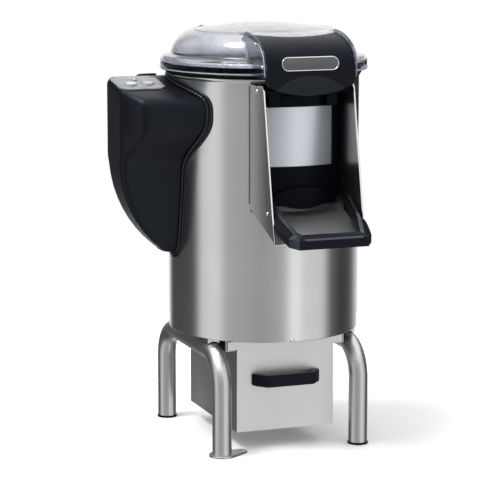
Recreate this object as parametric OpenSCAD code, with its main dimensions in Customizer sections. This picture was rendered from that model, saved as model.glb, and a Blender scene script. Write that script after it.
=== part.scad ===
// Floor-standing machine that cleans mussels in a steel drum: a spinning plate under a clear hinged lid,
// a discharge door over a front chute, a side housing for the electrics and a waste drawer between the legs.
// Lengths are millimetres and angles degrees. The drum's axis stands on the origin, on the floor.
// The chute faces -Y, the control housing is at -X and the lid's hinge is at +Y.

/* [Drum] */
// Outer radius of the drum
drum_r = 200; // [190:1:215]
// Height of the drum's lower edge above the floor
drum_bottom = 237; // [230:1:250]
// Height of the drum's upper edge above the floor
drum_top = 779; // [770:1:800]
// Thickness of the drum's sheet
shell_t = 1.5; // [1:0.1:2.5]
// How far the rolled rim stands out of the drum
rim_bead = 3; // [2:0.1:4]
// Height of the tank floor's upper face
tank_floor_z = 508; // [500:1:515]
// Thickness of the tank floor
tank_floor_t = 3; // [2:0.1:4]
// Thickness of the plate that closes the drum below
cover_t = 3; // [2:0.1:4]
// Distance from the chute's inner faces to the discharge window
window_margin = 17.5; // [17:0.5:35]
// Distance from the tank floor up to the window
window_rise = 24; // [18:1:40]
// Distance from the window up to the drum's upper edge
window_drop = 57; // [54:1:75]
// Radius of the half-round ribs on the tank's wall
rib_r = 9; // [6:0.5:12]

/* [Lid] */
// How far the lid's skirt stands out past the drum
lid_overhang = 17; // [15:0.5:22]
// Height of the lid's skirt
skirt_h = 22; // [18:1:28]
// Wall thickness of the clear lid
lid_t = 4; // [3:0.5:5]
// Height of the dome's edge above the drum
dome_edge_h = 85; // [78:1:94]
// Height of the crown above the dome's edge
crown_h = 14; // [8:1:20]
// How far the flat top's edge lies inside the drum's radius
dome_inset = 54; // [45:1:65]
// Half width of the front hood
hood_half = 98; // [95:0.5:102]
// How far the hood reaches past the drum
hood_reach = 61; // [57:1:68]
// Thickness of the visor
visor_t = 5; // [4:0.5:6]
// How far the visor hangs below the drum's upper edge
visor_drop = 30; // [24:1:32]
// Length of the blank badge
badge_l = 122; // [90:1:130]
// Height of the blank badge
badge_h = 28; // [24:1:36]
// Radius of the lid's hinge pin
lid_pin_r = 5; // [4:0.5:6]
// How far the lid's hinge lies behind the drum
lid_hinge_back = 32; // [29:1:38]

/* [Chute] */
// Half width of the chute over its side plates
chute_half = 97.5; // [94:0.5:100]
// Thickness of the chute's sheet
chute_t = 2; // [1.5:0.1:3]
// How far the chute's upper corner reaches past the drum
chute_reach_top = 55; // [48:1:57]
// How far the chute's lower corner reaches past the drum
chute_reach_low = 116; // [110:1:125]
// Downward slope of the chute floor
chute_slope = 20.3; // [16:0.1:24]
// How far the spout rim reaches past the drum
spout_reach = 188; // [180:1:195]
// Height of the spout rim's front bar
spout_bar_h = 28; // [24:1:34]
// Width of the spout rim's moulding
spout_rim_w = 14; // [10:0.5:16]
// Radius of the door's hinge pin
door_pin_r = 4; // [3:0.5:5]
// Width of the door's frame beside its steel panel
door_frame_w = 15; // [13.5:0.5:30]
// Height of the door's steel panel
panel_h = 123; // [100:1:126]

/* [Control housing] */
// How far the housing reaches past the drum
housing_reach = 128; // [120:1:138]
// Half width of the housing's upper part at the drum
housing_half = 113; // [106:1:120]
// Half width of the housing's lower keel
keel_half = 47; // [44:1:54]
// Height of the housing's top below the drum's upper edge, at the middle
housing_top_drop = 21; // [17:1:26]
// Height of the housing's lower tip below the drum's upper edge
housing_tip_drop = 384; // [370:1:400]
// Wall thickness of the housing
housing_t = 3; // [2.5:0.5:4]
// Tilt of the control panel towards the front
panel_tilt = 10; // [6:0.5:12]
// Side length of the control panel
panel_side = 98; // [86:1:100]
// Radius of a push button
button_r = 11; // [8:0.5:12]
// Travel of a push button
button_travel = 3; // [2:0.5:4]

/* [Legs] */
// Radius of the leg tube
tube_r = 20; // [17:0.5:22]
// Wall thickness of the leg tube
tube_t = 2; // [1.5:0.1:3]
// Radius of the bends, along the tube's centre
bend_r = 70; // [60:1:80]
// Distance of the front legs from the drum's axis
leg_front = 162; // [156:1:175]
// Distance of the rear legs from the drum's axis
leg_rear = 195; // [185:1:215]
// Height of the saddles between the tubes and the drum
saddle_h = 7; // [5:0.5:10]
// Thickness of the foot under each tube
foot_t = 4; // [3:0.5:6]
// Radius of the bolt hole in the floor flange
flange_hole_r = 4.5; // [3.5:0.25:5]

/* [Drawer] */
// Half width of the drawer's box
drawer_half = 108; // [100:1:112]
// Thickness of the drawer's sheet
drawer_t = 1.5; // [1:0.1:2]
// Distance of the drawer's front from the drum's axis
drawer_front_y = 131; // [124:1:136]
// Distance of the drawer's back from the drum's axis
drawer_back_y = 162; // [150:1:172]
// Height of the drawer's bottom above the floor
drawer_clear = 37.5; // [30:0.5:60]
// Length of the handle where it meets the drawer
handle_l = 154; // [130:1:160]
// How far the handle stands out of the drawer
handle_reach = 35; // [30:1:42]
// Height of the handle's bar
handle_h = 25; // [20:1:30]
// Height of the handle's middle above the floor
handle_z = 148; // [120:1:170]

/* [Drive] */
// Radius of the spindle
spindle_r = 12.5; // [10:0.5:14]
// Gap between the cleaning plate and the drum's wall
plate_gap = 14.5; // [13:0.5:33]
// Radius of the motor's body
motor_r = 60; // [50:1:62]
// Height of the motor's body
motor_h = 164; // [140:1:175]
// Radius of the belt's middle on the spindle's pulley
driven_pitch_r = 84; // [76:1:88]
// Radius of the belt's middle on the motor's pulley
driver_pitch_r = 21; // [19:0.5:24]
// Gap between the two pulleys
pulley_gap = 10.8; // [8:0.1:14]
// Radius of the motor's shaft
motor_shaft_r = 9.5; // [8:0.5:11]
// Radius of the drain pipe
drain_r = 25; // [20:0.5:28]
// Wall thickness of the drain pipe
drain_t = 2; // [1.5:0.1:3]

/* [Services] */
// Radius of the water inlet's thread
inlet_r = 10.5; // [8:0.25:13]
// Radius of the cable entry in the gland
gland_bore_r = 6; // [4:0.25:7]

/* [Clearances] */
// Gap between fixed pieces that seat on each other
seat_gap = 0.2; // [0.1:0.05:0.3]
// Gap between moving pieces
run_gap = 0.4; // [0.3:0.05:0.6]
// Radial gap of a shaft or pin in its bearing
shaft_gap = 0.05; // [0.02:0.01:0.1]

/* [Hidden] */
$fn = 96;

// Cutters run this far past the faces they cut
past = 1;

// Colours
steel = "silver";
dark_steel = "darkgray";
black_plastic = [0.13, 0.14, 0.16];
rubber = [0.08, 0.08, 0.08];
clear = [0.85, 0.9, 0.95, 0.35];

// Heights and radii of the drum
inner_r = drum_r - shell_t;
bead_h = 9;
bead_roll = 6;
bead_edge = 1;
bead_z = drum_top - bead_h;
tank_floor_low = tank_floor_z - tank_floor_t;
window_z0 = tank_floor_z + window_rise;
window_z1 = drum_top - window_drop;
rib_lift = 55;
rib_drop = 22;
rib_sink = 2;
rib_angles = [-30, 35, 90, 145, 210];
vent_l = 60;
vent_w = 8;
vent_x = 0.15 * inner_r;
vent_y = -0.65 * inner_r;

// Lid
lid_lift = 2;
lid_r = drum_r + lid_overhang;
lid_z0 = drum_top + lid_lift;
lid_z1 = lid_z0 + skirt_h;
lid_flange_z = lid_z1 - 0.75 * lid_t;
dome_step = 5;
dome_foot = 3;
dome_z0 = lid_z1 + dome_step;
dome_z1 = drum_top + dome_edge_h;
dome_r0 = drum_r - dome_foot;
dome_r1 = drum_r - dome_inset;
dome_pull_r = 0.82 * dome_r0 + 0.18 * dome_r1;
dome_pull_z = 0.11 * dome_z0 + 0.89 * dome_z1;
gasket_out = 8;
gasket_r = drum_r + gasket_out;
gasket_z1 = lid_flange_z - seat_gap;
hood_back_inset = 50;
hood_rise = 87;
hood_bend_rise = 21;
hood_low_rise = 6;
hood_nose_rise = 79;
hood_nose_out = 1;
hood_y = -(drum_r + hood_reach);
hood_back = -(drum_r - hood_back_inset);
hood_top = drum_top + hood_rise;
hood_bend_z = drum_top + hood_bend_rise;
hood_low = drum_top + hood_low_rise;
hood_nose_z = drum_top + hood_nose_rise;
hood_lap = 40;
cheek_lip = 6;
roof_t = 3;
visor_inset = 2;
visor_edge_r = drum_r - visor_inset;
visor_low = drum_top - visor_drop;
visor_lean = 5;
visor_half = hood_half - lid_t - seat_gap;
visor_tab = 14;
visor_tab_t = 3;
visor_corner_rise = 21;
recess_half = 75;
recess_crest = 10;
recess_top = drum_top + recess_crest;
recess_rise = 25;
recess_depth = 2;
badge_t = 1.5;
badge_rise = 33;
badge_z = drum_top + badge_rise;
rivet_r = 3.5;
rivet_t = 1.5;
rivet_back = 50;
rivet_high = 70;
rivet_front = 11;
rivet_low = 27;
rivet_places = [
    [hood_y + rivet_back, drum_top + rivet_high], [hood_y + rivet_front, drum_top + rivet_low]
];

// Lid hinge
hinge_y = drum_r + lid_hinge_back;
hinge_drop = 5;
hinge_z = drum_top - hinge_drop;
eye_wall = 6;
eye_r = lid_pin_r + eye_wall;
ear_x = 44;
ear_t = 6;
ear_sink = 10;
ear_foot = 8;
lug_x = 56;
lug_t = 14;
lug_rise = 82;
lug_top = drum_top + lug_rise;
lug_in = 70;
lug_chamfer = [10, 20];
lug_shoulder = -6;
lug_foot = [5, 4];
lug_heel = 40;
pin_end = 3;
bracket_half = 60;
bracket_t = 3;
bracket_h = 48;
bracket_drop = 16;
bracket_z1 = drum_top - bracket_drop;
bracket_z0 = bracket_z1 - bracket_h;
switch_half = 18;
switch_l = 18;
switch_margin = [6, 4];

// Chute and door
chute_in = chute_half - chute_t;
chute_drop = 12;
chute_top = drum_top - chute_drop;
window_half = chute_in - window_margin;
chute_low_y = -(drum_r + chute_reach_low);
chute_top_y = -(drum_r + chute_reach_top);
chute_corner = 13;
chute_back_y = -0.8 * drum_r;
chute_knee_rise = 62;
chute_knee_back = 16;
chute_low_z = tank_floor_z - chute_reach_low * tan(chute_slope);
spout_y = -(drum_r + spout_reach);
spout_lap = 3.5;
spout_z0 = chute_low_z - spout_lap;
spout_z1 = spout_z0 + spout_bar_h;
spout_arm_rise = 55;
spout_arm_top = spout_z1 + spout_arm_rise;
spout_corner = [24.5, 35.5];
spout_inner_corner = [20, 26];
spout_arm_l = 66;
spout_arm_chamfer = [6, 4];
spout_step = 1;
spout_slant = 4;
spout_arm_h = 30;
spout_arm_lift = 30;
spout_facet = [7, 8.5];
floor_end = 29;
chute_screw_back = 40;
chute_screw_rise = 38;
chute_screw_r = 2.5;
chute_screw_l = 10;
seal_t = 3;
seal_w = 12;
door_hinge_out = 16;
door_hinge_drop = 24;
door_hinge_y = -(drum_r + door_hinge_out);
door_hinge_z = drum_top - door_hinge_drop;
door_side_gap = 4;
door_half = chute_in - door_side_gap;
door_seal_gap = 0.6;
door_r0 = drum_r + seal_t + door_seal_gap;
door_t = 5;
door_lift = 12;
door_lap = 13;
door_z0 = tank_floor_z + door_lift;
door_z1 = window_z1 + door_lap;
door_foot_gap = 2.5;
door_foot_half = chute_in - seat_gap - spout_rim_w - door_foot_gap;
door_foot_h = 18;
door_foot_z = door_z0 + door_foot_h;
panel_half = door_half - door_frame_w;
panel_lap = 1;
panel_sink = 1;
panel_z1 = window_z1 + panel_lap;
panel_z0 = panel_z1 - panel_h;
panel_t = 1.5;
knuckle_wall = 4;
knuckle_r = door_pin_r + knuckle_wall;
knuckle_inset = 14.5;
knuckle_x = panel_half - knuckle_inset;
knuckle_l = 24;
knuckle_lap = 16;
lip_inset = 4.5;
lip_half = panel_half - lip_inset;
lip_lift = 8;
lip_h = 44;
lip_low = tank_floor_z + lip_lift;
lip_top = lip_low + lip_h;
lip_reach = 27;
lip_wall = 5;
lip_hollow = 12;
screw_r = 4.5;
screw_t = 2;
pin_head = 2;

// Control housing
housing_x = -(drum_r + housing_reach);
gasket_band = 4;
gasket_lip = 4;
gasket_inner = 7;
housing_mid_z = drum_top - housing_top_drop;
housing_tip_z = drum_top - housing_tip_drop;
housing_tip_out = 5;
housing_tip_x = -(drum_r + housing_tip_out);
housing_cap = 40;
housing_side_r = 9;
tip_half = [10, 24, 34];
tip_rise = [22, 60];
shoulder_back = 30;
shoulder_x = housing_x + shoulder_back;
shoulder_half = housing_half - housing_side_r;
corner_pull = [14, 16];
brow_half = 70;
rear_rise = [4, 17];
front_fall = [26, 38];
waist_drop = 89;
waist_h = 110;
belly_drop = 174;
waist_z1 = drum_top - waist_drop;
waist_z0 = waist_z1 - waist_h;
belly_z = drum_top - belly_drop;
panel_back = 51;
panel_x = housing_x + panel_back;
panel_plate_t = 3;
panel_bevel = 14;
button_x = 18;
button_y = -12;
button_proud = button_travel;
button_depth = 16;
well_margin = 8;
lamp_r = 5;
lamp_y = 20;
lamp_depth = 12;
lamp_rim = 2;
lamp_proud = 1;
contactor_size = [42, 56, 76];
contactor_drop = 220;
contactor_z = drum_top - contactor_drop;
housing_screw_r = 2;
housing_screw_l = 28;
housing_screw_drop = 84;
housing_screw_z = drum_top - housing_screw_drop;
bush_rise = 70;
bush_z = housing_tip_z + bush_rise;
bush_r = 13;
bush_rim = 5;
bush_wall = 4;
bush_out = 6;
bush_in = 8;

// Legs
run_z = drum_bottom - saddle_h - tube_r;
rail_out = 23.7;
rail_gap = 0.3;
rail_x = drawer_half + rail_out;
leg_x = rail_x + rail_gap + tube_r;
saddle_y = 95;
saddle_l = 34;
saddle_w = 26;
foot_lip = 1.5;
plug_h = 14;
flange_offset = [47, 14];
flange_r = 27;
flange_tip_r = 13;

// Drawer and rails
rail_t = 2;
rail_h = 26;
rail_z0 = drum_bottom - rail_h;
rail_w = 21;
rail_lip = rail_x - rail_w;
rail_y1 = 145;
flange_z0 = rail_z0 + rail_t + rail_gap;
flange_side_gap = 1.5;
flange_x = rail_x - rail_t - flange_side_gap;
drawer_back_face = -drawer_front_y + drawer_t;
front_drop = 6;
front_top = drum_bottom - front_drop;
tray_depth = 104;
tray_side_gap = 3;
tray_front_gap = 9;
tray_back_gap = 4;
tray_flange_gap = 6;
tray_half = drawer_half - drawer_t - tray_side_gap;
tray_front = drawer_back_face + tray_front_gap;
tray_back = drawer_back_y - drawer_t - tray_back_gap;
tray_z1 = flange_z0 + drawer_t + seat_gap;
slot_w = 5;
slot_pitch = 18;
slot_margin = 16;
handle_bar = 11;
handle_taper = 23;
handle_foot = 17;
handle_neck = 8;
handle_screw_x = (handle_l - handle_foot) / 2;
handle_screw_r = 2;
handle_screw_l = 10;
handle_head_r = 4;
handle_head_t = 2.5;

// Drive
groove = 6;
belt_w = 8;
belt_h = 5;
driven_r = driven_pitch_r + groove - run_gap - belt_h / 2;
driver_r = driver_pitch_r + groove - run_gap - belt_h / 2;
belt_centres = driven_r + driver_r + pulley_gap;
drain_pos = [-(rail_lip - drain_r - 6), 110];
motor_angle = 35;
motor_pos = [belt_centres * cos(motor_angle), belt_centres * sin(motor_angle)];
motor_plate_t = 4;
motor_plate_rise = 55;
motor_plate_z = drum_bottom + motor_plate_rise;
motor_plate_top = motor_plate_z + motor_plate_t;
bolt_r = 4;
bolt_edge = 11;
bolt_head_r = 6.8;
bolt_head_t = 5.5;
bolt_nut_t = 3.5;
motor_bolt_ring = motor_r - bolt_edge;
motor_bolt_l = 15;
motor_cap_h = 26;
motor_cap_step = 5;
fin_t = 3;
fin_out = 4;
fin_sink = 2;
fin_margin = [20, 12];
shaft_end = 4;
housing_flange_r = 60;
housing_flange_t = 8;
bearing_wall = 13.5;
bearing_r = spindle_r + bearing_wall;
bearing_w = 15;
hub_wall = 10;
bearing_low_gap = 6;
bearing_low_z = motor_plate_top + bearing_low_gap;
bearing_top_gap = 8;
bearing_top_z = tank_floor_low - bearing_w - bearing_top_gap;
bolt_ring = housing_flange_r - bolt_edge;
seal_r = 30;
seal_h = 6;
plate_r = inner_r - plate_gap;
plate_lift = 11;
plate_z = tank_floor_z + plate_lift;
plate_t = 8;
plate_rim = 6;
hub_foot = 6;
hub_w = 12;
hub_lift = 5;
hub_h = 34;
plate_hub_r = spindle_r + hub_w;
plate_hub_z0 = tank_floor_z + hub_lift;
plate_hub_z1 = plate_hub_z0 + hub_h;
ridge_r = 11;
ridge_start = 9;
ridge_end = 15;
nut_h = 10;
nut_r = 17;
pulley_rise = 24;
pulley_z = drum_bottom + pulley_rise;
pulley_w = 16;
pulley_hub_h = 6;
groove_slant = 1.5;
driven_hub = 13;
driver_hub = 6;
spindle_end = 10;
motor_shaft_end = 8;
drain_flange_w = 7;
drain_flange_t = 2;
drain_end = 4;

// Services
gland_rise = 44;
gland_z = motor_plate_top + gland_rise;
gland_x = 60;
gland_l = 24;
gland_in = 14;
gland_wall = 3;
gland_nut_w = 5;
gland_neck_r = gland_bore_r + gland_wall;
gland_nut_r = gland_neck_r + gland_nut_w;
gland_nut_out = 14;
inlet_x = 112;
inlet_drop = 62;
inlet_z = drum_top - inlet_drop;
inlet_l = 14;
inlet_in = 26;
inlet_wall = 3;
inlet_nut_w = 7;
inlet_nut_r = inlet_r + inlet_nut_w;
inlet_nut_out = 14;

// Points along an arc
function arc(cx, cy, r, a0, a1, n) =
    [for (i = [0:n]) let (a = a0 + (a1 - a0) * i / n) [cx + r * cos(a), cy + r * sin(a)]];

// Points along a curve pulled towards one control point
function bend(p, c, q, n) =
    [for (i = [0:n]) let (t = i / n) (1 - t) * (1 - t) * p + 2 * t * (1 - t) * c + t * t * q];

// The same outline's other half, mirrored in its first coordinate and walked back
function flipped(points) = [for (i = [len(points) - 1:-1:0]) [-points[i][0], points[i][1]]];

// Height of the chute floor at a distance in front of the drum's axis
function chute_z(y) = tank_floor_z + (y + drum_r) * tan(chute_slope);
chute_screw_y = chute_low_y + chute_screw_back;
chute_screw_z = chute_z(chute_screw_y) + chute_screw_rise;

// A Y-Z outline drawn out along X
module along_x(x0, x1) {
    translate([x0, 0, 0]) rotate([90, 0, 90]) linear_extrude(x1 - x0) children();
}

// An X-Z outline drawn out along Y
module along_y(y0, y1) {
    translate([0, y1, 0]) rotate([90, 0, 0]) linear_extrude(y1 - y0) children();
}

module rod_x(y, z, r, x0, x1) {
    translate([x0, y, z]) rotate([0, 90, 0]) cylinder(r = r, h = x1 - x0);
}

module rod_y(x, z, r, y0, y1) {
    translate([x, y0, z]) rotate([-90, 0, 0]) cylinder(r = r, h = y1 - y0);
}

module disc(r, z0, z1) {
    translate([0, 0, z0]) cylinder(r = r, h = z1 - z0);
}

module ring(r0, r1, z0, z1) {
    difference() {
        disc(r1, z0, z1);
        disc(r0, z0 - past, z1 + past);
    }
}

// A block between two opposite corners
module block(low, high) {
    translate(low) cube(high - low);
}

module both_sides() {
    children();
    mirror([1, 0, 0]) children();
}

// Part of a ring round the drum's axis, at the front
module front_patch(r0, r1, half, z0, z1) {
    intersection() {
        ring(r0, r1, z0, z1);
        block([-half, -r1 - past, z0 - past], [half, 0, z1 + past]);
    }
}

// Drum

module drum_shell() {
    profile = [
        [inner_r, drum_bottom], [drum_r, drum_bottom], [drum_r, bead_z],
        [drum_r + rim_bead, drum_top - bead_roll], [drum_r + rim_bead, drum_top - bead_edge],
        [drum_r + rim_bead - bead_edge, drum_top], [inner_r, drum_top]
    ];
    color(steel) difference() {
        rotate_extrude() polygon(profile);
        block([-window_half, -drum_r - past, window_z0], [window_half, -drum_r / 2, window_z1]);
        rod_x(0, bush_z, bush_r, -drum_r - past, -drum_r / 2);
        rod_y(gland_x, gland_z, gland_neck_r + seat_gap, drum_r / 2, drum_r + past);
        rod_y(inlet_x, inlet_z, inlet_r + seat_gap, drum_r / 2, drum_r + past);
    }
}

module bottom_cover() {
    z0 = drum_bottom - past;
    z1 = drum_bottom + cover_t + past;
    color(dark_steel) difference() {
        disc(inner_r - seat_gap, drum_bottom, drum_bottom + cover_t);
        translate(drain_pos) disc(drain_r + seat_gap, z0, z1);
        for (i = [-2:2])
            translate([vent_x, vent_y + 2 * i * vent_w, 0]) block([0, 0, z0], [vent_l, vent_w, z1]);
    }
}

// Places in a ring of bolts
module at_bolts(ring_r, first) {
    for (a = [first:90:first + 270])
        rotate(a) translate([ring_r, 0]) children();
}

module tank_floor() {
    z0 = tank_floor_low - past;
    z1 = tank_floor_z + past;
    color(steel) difference() {
        disc(inner_r - seat_gap, tank_floor_low, tank_floor_z);
        disc(seal_r, z0, z1);
        translate(drain_pos) disc(drain_r + seat_gap, z0, z1);
        at_bolts(bolt_ring, 45) disc(bolt_r + seat_gap, z0, z1);
    }
}

module wall_ribs() {
    z0 = tank_floor_z + rib_lift;
    z1 = drum_top - rib_drop;
    color(steel) for (a = rib_angles)
        intersection() {
            disc(inner_r - seat_gap, z0, z1);
            rotate(a) translate([inner_r - rib_sink, 0]) disc(rib_r, z0, z1);
        }
}

module drain_pipe() {
    pipe_low = drum_bottom - drain_end;
    pipe_top = tank_floor_z + drain_flange_t;
    color(dark_steel) translate(drain_pos) difference() {
        union() {
            disc(drain_r, pipe_low, pipe_top);
            disc(drain_r + drain_flange_w, tank_floor_z, pipe_top);
        }
        disc(drain_r - drain_t, pipe_low - past, pipe_top + past);
    }
}

// Spindle and its bearings

module bearing_housing() {
    seat = tank_floor_low - housing_flange_t;
    color("dimgray") difference() {
        union() {
            disc(bearing_r + hub_wall, bearing_low_z, tank_floor_low);
            disc(housing_flange_r, seat, tank_floor_low);
        }
        disc(bearing_r, bearing_low_z - past, tank_floor_low + past);
        at_bolts(bolt_ring, 45) disc(bolt_r + seat_gap, seat - past, tank_floor_low + past);
    }
}

// A hexagon head or nut that stands on a height
module hexagon(z, t) {
    translate([0, 0, z]) cylinder(r = bolt_head_r, h = t, $fn = 6);
}

module bearing_bolts() {
    seat = tank_floor_low - housing_flange_t;
    color("gray") at_bolts(bolt_ring, 45) {
        disc(bolt_r, seat, tank_floor_z);
        hexagon(seat - bolt_head_t, bolt_head_t);
        hexagon(tank_floor_z, bolt_nut_t);
    }
}

module spindle_bearings() {
    color("lightgray") for (z = [bearing_low_z, bearing_top_z])
        ring(spindle_r + shaft_gap, bearing_r - shaft_gap, z, z + bearing_w);
}

module shaft_seal() {
    color(rubber) ring(spindle_r + shaft_gap, seal_r - seat_gap, tank_floor_low, tank_floor_low + seal_h);
}

module spindle() {
    color("lightgray") disc(spindle_r, pulley_z - spindle_end, plate_hub_z1);
}

module cleaning_plate() {
    profile = [
        [spindle_r + shaft_gap, plate_hub_z0], [plate_hub_r, plate_hub_z0], [plate_hub_r, plate_z],
        [plate_r - plate_rim, plate_z], [plate_r, plate_z + plate_rim],
        [plate_r, plate_z + plate_t + plate_rim], [plate_r - plate_rim, plate_z + plate_t],
        [plate_hub_r + hub_foot, plate_z + plate_t], [plate_hub_r, plate_hub_z1],
        [spindle_r + shaft_gap, plate_hub_z1]
    ];
    color("dimgray") union() {
        rotate_extrude() polygon(profile);
        for (a = [30, 150, 270])
            intersection() {
                rotate(a) rod_x(0, plate_z + plate_t, ridge_r, plate_hub_r + ridge_start, plate_r - ridge_end);
                disc(plate_r, plate_z + plate_t / 2, plate_z + plate_t + 2 * ridge_r);
            }
    }
}

module plate_nut() {
    color(steel) translate([0, 0, plate_hub_z1]) cylinder(r = nut_r, h = nut_h, $fn = 6);
}

// A grooved pulley on a shaft
module pulley(r, shaft_r, hub_r, z) {
    mid = z + pulley_w / 2;
    low = z - pulley_hub_h;
    profile = [
        [shaft_r + shaft_gap, low], [hub_r, low], [hub_r, z], [r, z], [r, mid - belt_w / 2 - groove_slant],
        [r - groove, mid - belt_w / 2], [r - groove, mid + belt_w / 2],
        [r, mid + belt_w / 2 + groove_slant], [r, z + pulley_w], [shaft_r + shaft_gap, z + pulley_w]
    ];
    rotate_extrude() polygon(profile);
}

module driven_pulley() {
    color("dimgray") pulley(driven_r, spindle_r, spindle_r + driven_hub, pulley_z);
}

// Motor and belt

module motor_plate() {
    z0 = motor_plate_z - past;
    z1 = motor_plate_top + past;
    color(dark_steel) difference() {
        disc(inner_r - seat_gap, motor_plate_z, motor_plate_top);
        disc(bearing_r + hub_wall, z0, z1);
        translate(drain_pos) disc(drain_r + seat_gap, z0, z1);
        translate(motor_pos) disc(driver_r, z0, z1);
        translate(motor_pos) at_bolts(motor_bolt_ring, 0) disc(bolt_r + seat_gap, z0, z1);
    }
}

module motor_body() {
    top = motor_plate_top + motor_h;
    cap_z = top - motor_cap_h;
    color("slategray") translate(motor_pos) difference() {
        union() {
            disc(motor_r, motor_plate_top, cap_z);
            disc(motor_r - motor_cap_step, cap_z, top);
            for (a = [15:30:345])
                rotate(a) block([motor_r - fin_sink, -fin_t / 2, motor_plate_top + fin_margin[0]],
                                [motor_r + fin_out, fin_t / 2, cap_z - fin_margin[1]]);
        }
        disc(motor_shaft_r + shaft_gap, motor_plate_top - past, cap_z);
        at_bolts(motor_bolt_ring, 0)
            disc(bolt_r + seat_gap, motor_plate_top - past, motor_plate_top + motor_bolt_l + past);
    }
}

module motor_bolts() {
    color("gray") translate(motor_pos) at_bolts(motor_bolt_ring, 0) {
        disc(bolt_r, motor_plate_z, motor_plate_top + motor_bolt_l);
        hexagon(motor_plate_z - bolt_head_t, bolt_head_t);
    }
}

module motor_shaft() {
    top = motor_plate_top + motor_h - motor_cap_h - shaft_end;
    color("lightgray") translate(motor_pos) disc(motor_shaft_r, pulley_z - motor_shaft_end, top);
}

module drive_pulley() {
    color("dimgray") translate(motor_pos) pulley(driver_r, motor_shaft_r, motor_shaft_r + driver_hub, pulley_z);
}

// Outline of a belt run at a distance outside both grooves
function belt_outline(grow) =
    let (r0 = driven_r - groove + grow, r1 = driver_r - groove + grow, lean = acos((r0 - r1) / belt_centres))
    concat(arc(0, 0, r0, lean, 360 - lean, 48), arc(belt_centres, 0, r1, -lean, lean, 16));

module drive_belt() {
    mid = pulley_z + pulley_w / 2;
    color(rubber) rotate(motor_angle) translate([0, 0, mid - belt_w / 2 + run_gap])
        linear_extrude(belt_w - 2 * run_gap) difference() {
            polygon(belt_outline(run_gap + belt_h));
            polygon(belt_outline(run_gap));
        }
}

// Control housing

// Half width of the housing's outline at a height between waist and belly
function waist_half(z) =
    keel_half + (housing_half - keel_half) * (1 - cos(180 * (z - waist_z0) / (waist_z1 - waist_z0))) / 2;

// Half of the housing's outline as seen along X, from its lower tip up to its shoulder
function housing_half_outline(inset) = concat(
    [
        [tip_half[0], housing_tip_z + inset], [tip_half[1] - inset, housing_tip_z + tip_rise[0]],
        [tip_half[2] - inset, housing_tip_z + tip_rise[1]]
    ],
    [for (i = [0:8])
        let (z = waist_z0 + (waist_z1 - waist_z0) * i / 8)
        [waist_half(z) - inset, z + inset / 2]]
);

function housing_front_outline(inset) = concat(
    housing_half_outline(inset),
    [
        [housing_half - inset, housing_mid_z + rear_rise[0]],
        [shoulder_half - inset, housing_mid_z + rear_rise[1] - inset],
        [brow_half, housing_mid_z + brow_half * tan(panel_tilt) - inset],
        [-panel_side / 2, housing_mid_z - panel_side / 2 * tan(panel_tilt) - inset],
        [inset - shoulder_half, housing_mid_z - front_fall[0] - inset],
        [inset - housing_half, housing_mid_z - front_fall[1]]
    ],
    flipped(housing_half_outline(inset))
);

// The housing's profile as seen along Y: a straight spine above a round belly
function housing_side_outline(inset) =
    let (
        reach = housing_tip_x - housing_x,
        drop = belly_z - housing_tip_z,
        r = (reach * reach + drop * drop) / (2 * reach),
        sweep = asin(drop / r)
    )
    concat(
        [[0, drum_top + housing_cap], [housing_x + inset, drum_top + housing_cap]],
        arc(housing_x + r, belly_z, r - inset, 180, 180 + sweep, 16),
        [[0, housing_tip_z + inset]]
    );

// The housing's outline as seen from above
function housing_corner(inset) =
    bend([shoulder_x, shoulder_half - inset],
         [housing_x + corner_pull[0] + inset, shoulder_half - corner_pull[1] - inset],
         [housing_x + inset, keel_half - inset], 6);

function housing_plan_half(inset) = concat(
    [[0, housing_half - inset], [-drum_r * 0.8, housing_half - inset]],
    housing_corner(inset)
);

// Where a screw enters the rounded corner of the housing
screw_corner = housing_corner(0)[3];

function housing_plan_outline(inset) =
    let (half = housing_plan_half(inset))
    concat(half, [for (i = [len(half) - 1:-1:0]) [half[i][0], -half[i][1]]]);

module housing_form(inset) {
    intersection() {
        along_x(housing_x - past, 0) polygon(housing_front_outline(inset));
        along_y(-2 * housing_half, 2 * housing_half) polygon(housing_side_outline(inset));
        translate([0, 0, housing_tip_z - past]) linear_extrude(housing_tip_drop + housing_cap)
            polygon(housing_plan_outline(inset));
    }
}

// The tilted frame of the control panel, with its back on the housing's top
module on_panel() {
    translate([panel_x, 0, housing_mid_z]) rotate([panel_tilt, 0, 0]) children();
}

module at_buttons(side) {
    on_panel() translate([side * button_x, button_y, 0]) children();
}

module control_housing() {
    color(black_plastic) difference() {
        housing_form(0);
        housing_form(housing_t);
        disc(drum_r + gasket_band + seat_gap, housing_tip_z - past, drum_top + housing_cap);
        for (side = [-1, 1])
            at_buttons(side) disc(button_r + run_gap, -button_depth - well_margin, well_margin);
        on_panel() translate([0, lamp_y, 0]) disc(lamp_r + seat_gap, -lamp_depth - well_margin, well_margin);
        for (s = [0, 1])
            mirror([0, s, 0])
                rod_y(screw_corner[0], housing_screw_z, housing_screw_r + seat_gap,
                      keel_half / 2, housing_half);
    }
}

module housing_gasket() {
    color(rubber) intersection() {
        ring(drum_r + seat_gap, drum_r + gasket_band, housing_tip_z - 2 * gasket_lip, bead_z - seat_gap);
        along_x(-drum_r - 2 * gasket_band, -drum_r / 2) difference() {
            polygon(housing_front_outline(-gasket_lip));
            polygon(housing_front_outline(gasket_inner));
        }
    }
}

// A square with bevelled corners
function bevelled(half, bevel) = [
    [half, bevel - half], [half, half - bevel], [half - bevel, half], [bevel - half, half],
    [-half, half - bevel], [-half, bevel - half], [bevel - half, -half], [half - bevel, -half]
];

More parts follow.
